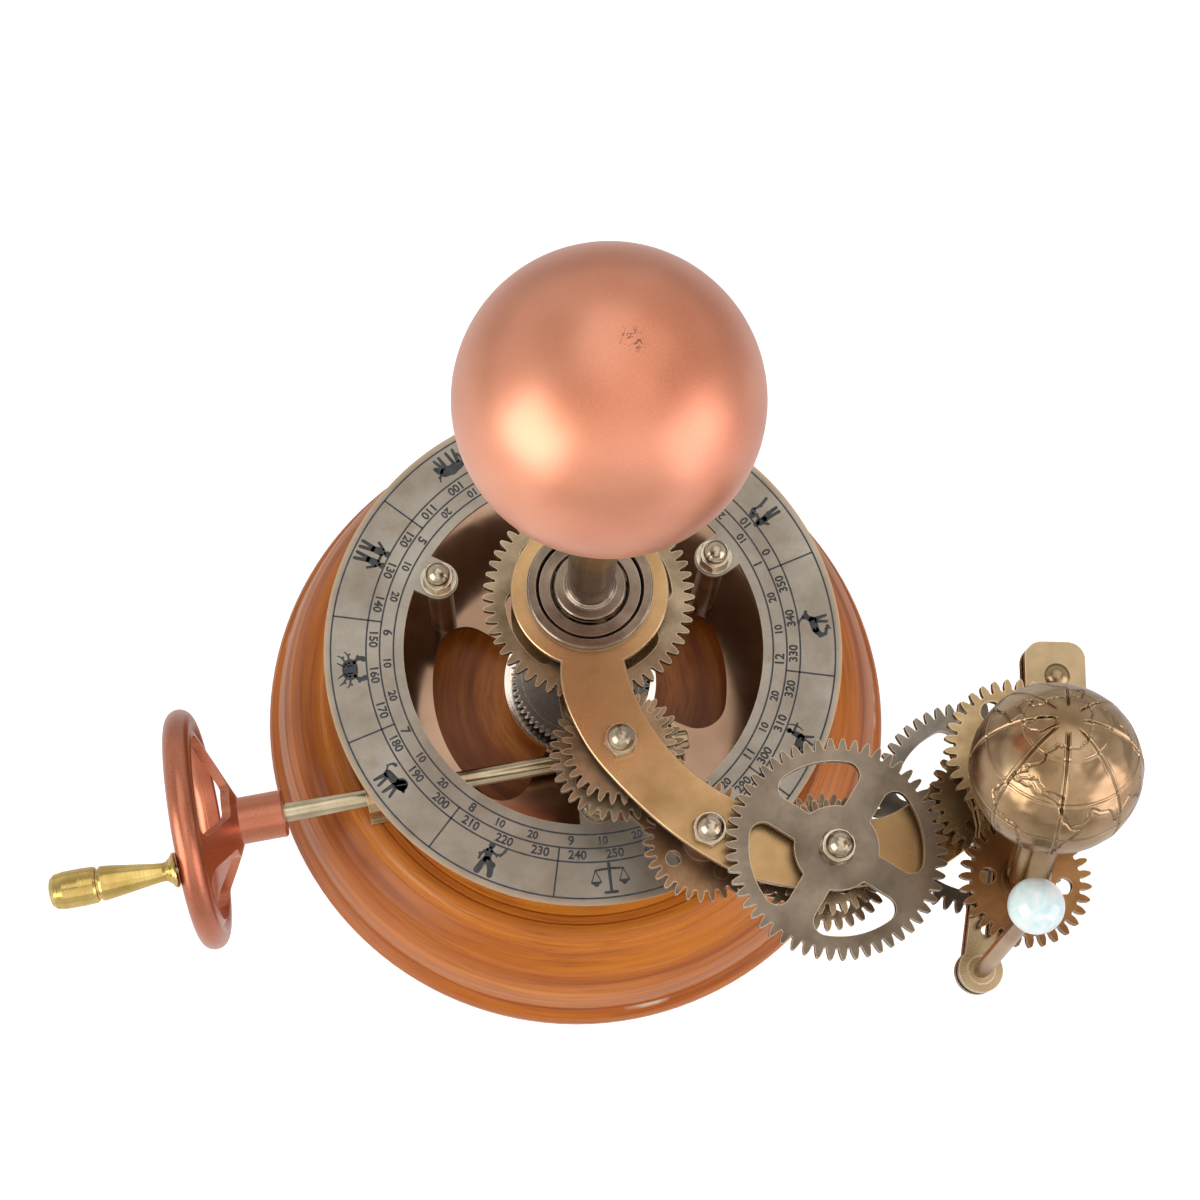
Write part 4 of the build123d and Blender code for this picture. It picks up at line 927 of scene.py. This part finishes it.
def room():
    """Surroundings: white to the camera, a soft fall from pale to grey in reflections, dimmer as light."""
    world = bpy.data.worlds.new("room")
    bpy.context.scene.world = world
    world.use_nodes = True
    tree = world.node_tree
    light = tree.nodes["Background"]
    path = tree.nodes.new("ShaderNodeLightPath").outputs
    either = tree.nodes.new("ShaderNodeMath")
    either.operation = "MAXIMUM"
    tree.links.new(path["Is Camera Ray"], either.inputs[0])
    tree.links.new(path["Is Glossy Ray"], either.inputs[1])
    any_seen = tree.nodes.new("ShaderNodeMath")
    any_seen.operation = "MAXIMUM"
    tree.links.new(either.outputs[0], any_seen.inputs[0])
    tree.links.new(path["Is Transmission Ray"], any_seen.inputs[1])
    strength = tree.nodes.new("ShaderNodeMapRange")
    strength.inputs["To Min"].default_value = ROOM_LIGHT
    strength.inputs["To Max"].default_value = 1.0
    tree.links.new(any_seen.outputs[0], strength.inputs["Value"])
    tree.links.new(strength.outputs["Result"], light.inputs["Strength"])
    height = tree.nodes.new("ShaderNodeSeparateXYZ")
    tree.links.new(tree.nodes.new("ShaderNodeTexCoord").outputs["Generated"], height.inputs[0])
    sky = tree.nodes.new("ShaderNodeValToRGB")
    low, high = sky.color_ramp.elements
    low.position, low.color = 0.05, (0.92, 0.90, 0.88, 1)
    high.position, high.color = 0.85, (0.42, 0.40, 0.38, 1)
    tree.links.new(height.outputs["Z"], sky.inputs[0])
    backdrop = tree.nodes.new("ShaderNodeMix")
    backdrop.data_type = "RGBA"
    tree.links.new(path["Is Camera Ray"], backdrop.inputs[0])
    tree.links.new(sky.outputs[0], backdrop.inputs[6])
    backdrop.inputs[7].default_value = (1, 1, 1, 1)
    tree.links.new(backdrop.outputs[2], light.inputs["Color"])


def paint(names, material):
    for name in names:
        slots = nodes[name].data.materials
        slots.clear()
        slots.append(material)


def dress():
    """Gives every carried-over part its finish."""
    paint(["wood_base"], turned_wood())
    paint(["deck_plate"], polished_deck())
    paint(["zodiac_ring"], silvered_dial())
    paint(["ring_posts"], dark_varnish())
    nut_steel = aged_metal("bright_steel", STEEL_LIGHT, STEEL_DARK, 0.24, EDGE_STEEL_WORN_HIGHLIGHT, 0.0004, 0.15, 90.0)
    paint(["ring_washers", "ring_acorn_nuts", "arm_acorn_nuts", "arm_bolts", "arm_end_bolt", "grip_pin",
           "hub_balls"], nut_steel)
    hub = turned_metal("hub_steel", (0.29, 0.22, 0.165), (0.14, 0.10, 0.07), 0.24, (0, 0, 0), (1, 1, 0),
                       EDGE_STEEL_WORN_HIGHLIGHT)
    paint(["hub_outer_race", "hub_shield", "hub_inner_race", "sun_stem"], hub)
    paint(["column_rod", "drive_sleeve"], plain_polish("column_steel", (0.45, 0.40, 0.34),
                                                       (0.25, 0.21, 0.17), 0.2, (1, 1, 0.05)))
    paint(["wheel_seat"], turned_metal("seat_brass", (0.95, 0.88, 0.82), (0.80, 0.68, 0.60), 0.08,
                                       (0, 0, 0), (1, 1, 0)))
    paint(["worm_wheel", "worm"], aged_metal("dark_steel", (0.22, 0.19, 0.16), (0.075, 0.062, 0.05), 0.3,
                                             EDGE_STEEL_WORN_HIGHLIGHT, 0.0003))
    paint(["drive_shaft"], plain_polish("shaft_brass", (0.60, 0.52, 0.36), (0.30, 0.22, 0.12), 0.17,
                                        (0.04, 1, 1)))
    paint(["bearing_outer", "bearing_inner"], aged_metal("bearing_brass", PALE_LIGHT, PALE_DARK, 0.25))
    grip = centre_of("crank_grip")
    paint(["crank_grip"], turned_metal("grip_brass", (0.74, 0.56, 0.20), (0.46, 0.31, 0.085), 0.20, grip,
                                       (1, 0, 0), (0.86, 0.75, 0.45), 1400.0))
    paint(["hand_wheel"], copper_paint("wheel_copper", (0.58, 0.19, 0.095), (0.38, 0.10, 0.04), 0.30))
    paint(["arm_upper_plate", "arm_lower_plate"], aged_metal("arm_brass", ARM_LIGHT, ARM_DARK, 0.30,
                                                             EDGE_WORN_HIGHLIGHT, 0.0006, 0.2, 30.0))
    paint(["sun_wheel"], aged_metal("sun_wheel_brass", (0.34, 0.26, 0.165), (0.15, 0.105, 0.06), 0.30))
    wheel_brass = aged_metal("wheel_brass", WHEEL_LIGHT, WHEEL_DARK, 0.30)
    paint(["first_pinion", "third_pinion", "third_wheel"], wheel_brass)
    paint(["first_wheel"], aged_metal("first_wheel_brass", (0.33, 0.25, 0.16), (0.15, 0.10, 0.055), 0.32))
    paint(["idler_wheel"], aged_metal("idler_bronze", (0.26, 0.15, 0.08), (0.11, 0.055, 0.025), 0.32))
    paint(["top_wheel"], aged_metal("top_wheel_bronze", AGED_LIGHT, AGED_DARK, 0.34, EDGE_WORN_HIGHLIGHT, 0.0005,
                                    0.3, 34.0))
    paint(["carriage_wheel"], aged_metal("carriage_wheel_bronze", (0.25, 0.22, 0.18), (0.11, 0.09, 0.07),
                                         0.34))
    pale = aged_metal("pale_brass", PALE_LIGHT, PALE_DARK, 0.28, (0.86, 0.74, 0.50))
    paint(["fourth_wheel", "fourth_pinion", "fifth_wheel", "fifth_arbor", "carriage_arbor"], pale)
    plate = aged_metal("plate_brass", (0.46, 0.34, 0.20), (0.29, 0.205, 0.11), 0.24, (0.88, 0.74, 0.52),
                       0.0005, 0.12, 40.0)
    paint(["carriage_upper_plate", "carriage_lower_plate", "carriage_pillar", "moon_bush"], plate)
    paint(["sixth_wheel"], aged_metal("brown_bronze", BROWN_LIGHT, BROWN_DARK, 0.33, (0.55, 0.38, 0.20)))
    paint(["earth_post", "earth_axle"], plain_polish("post_bronze", (0.40, 0.28, 0.15), (0.20, 0.12, 0.06),
                                                     0.22))
    paint(["moon_rod"], plain_polish("moon_rod_brass", (0.55, 0.40, 0.27), (0.34, 0.22, 0.14), 0.26))


dress()
sun(copper_paint("sun_copper", COPPER_LIGHT, COPPER_DARK, 0.40, scuffs=True))
moon(pearl())
earth(embossed_bronze())
ring_engraving(dark_enamel())
camera()
floor()
room()
for lamp_values in SOFTBOXES:
    softbox(*lamp_values)
bpy.context.scene.view_settings.view_transform = "Standard"
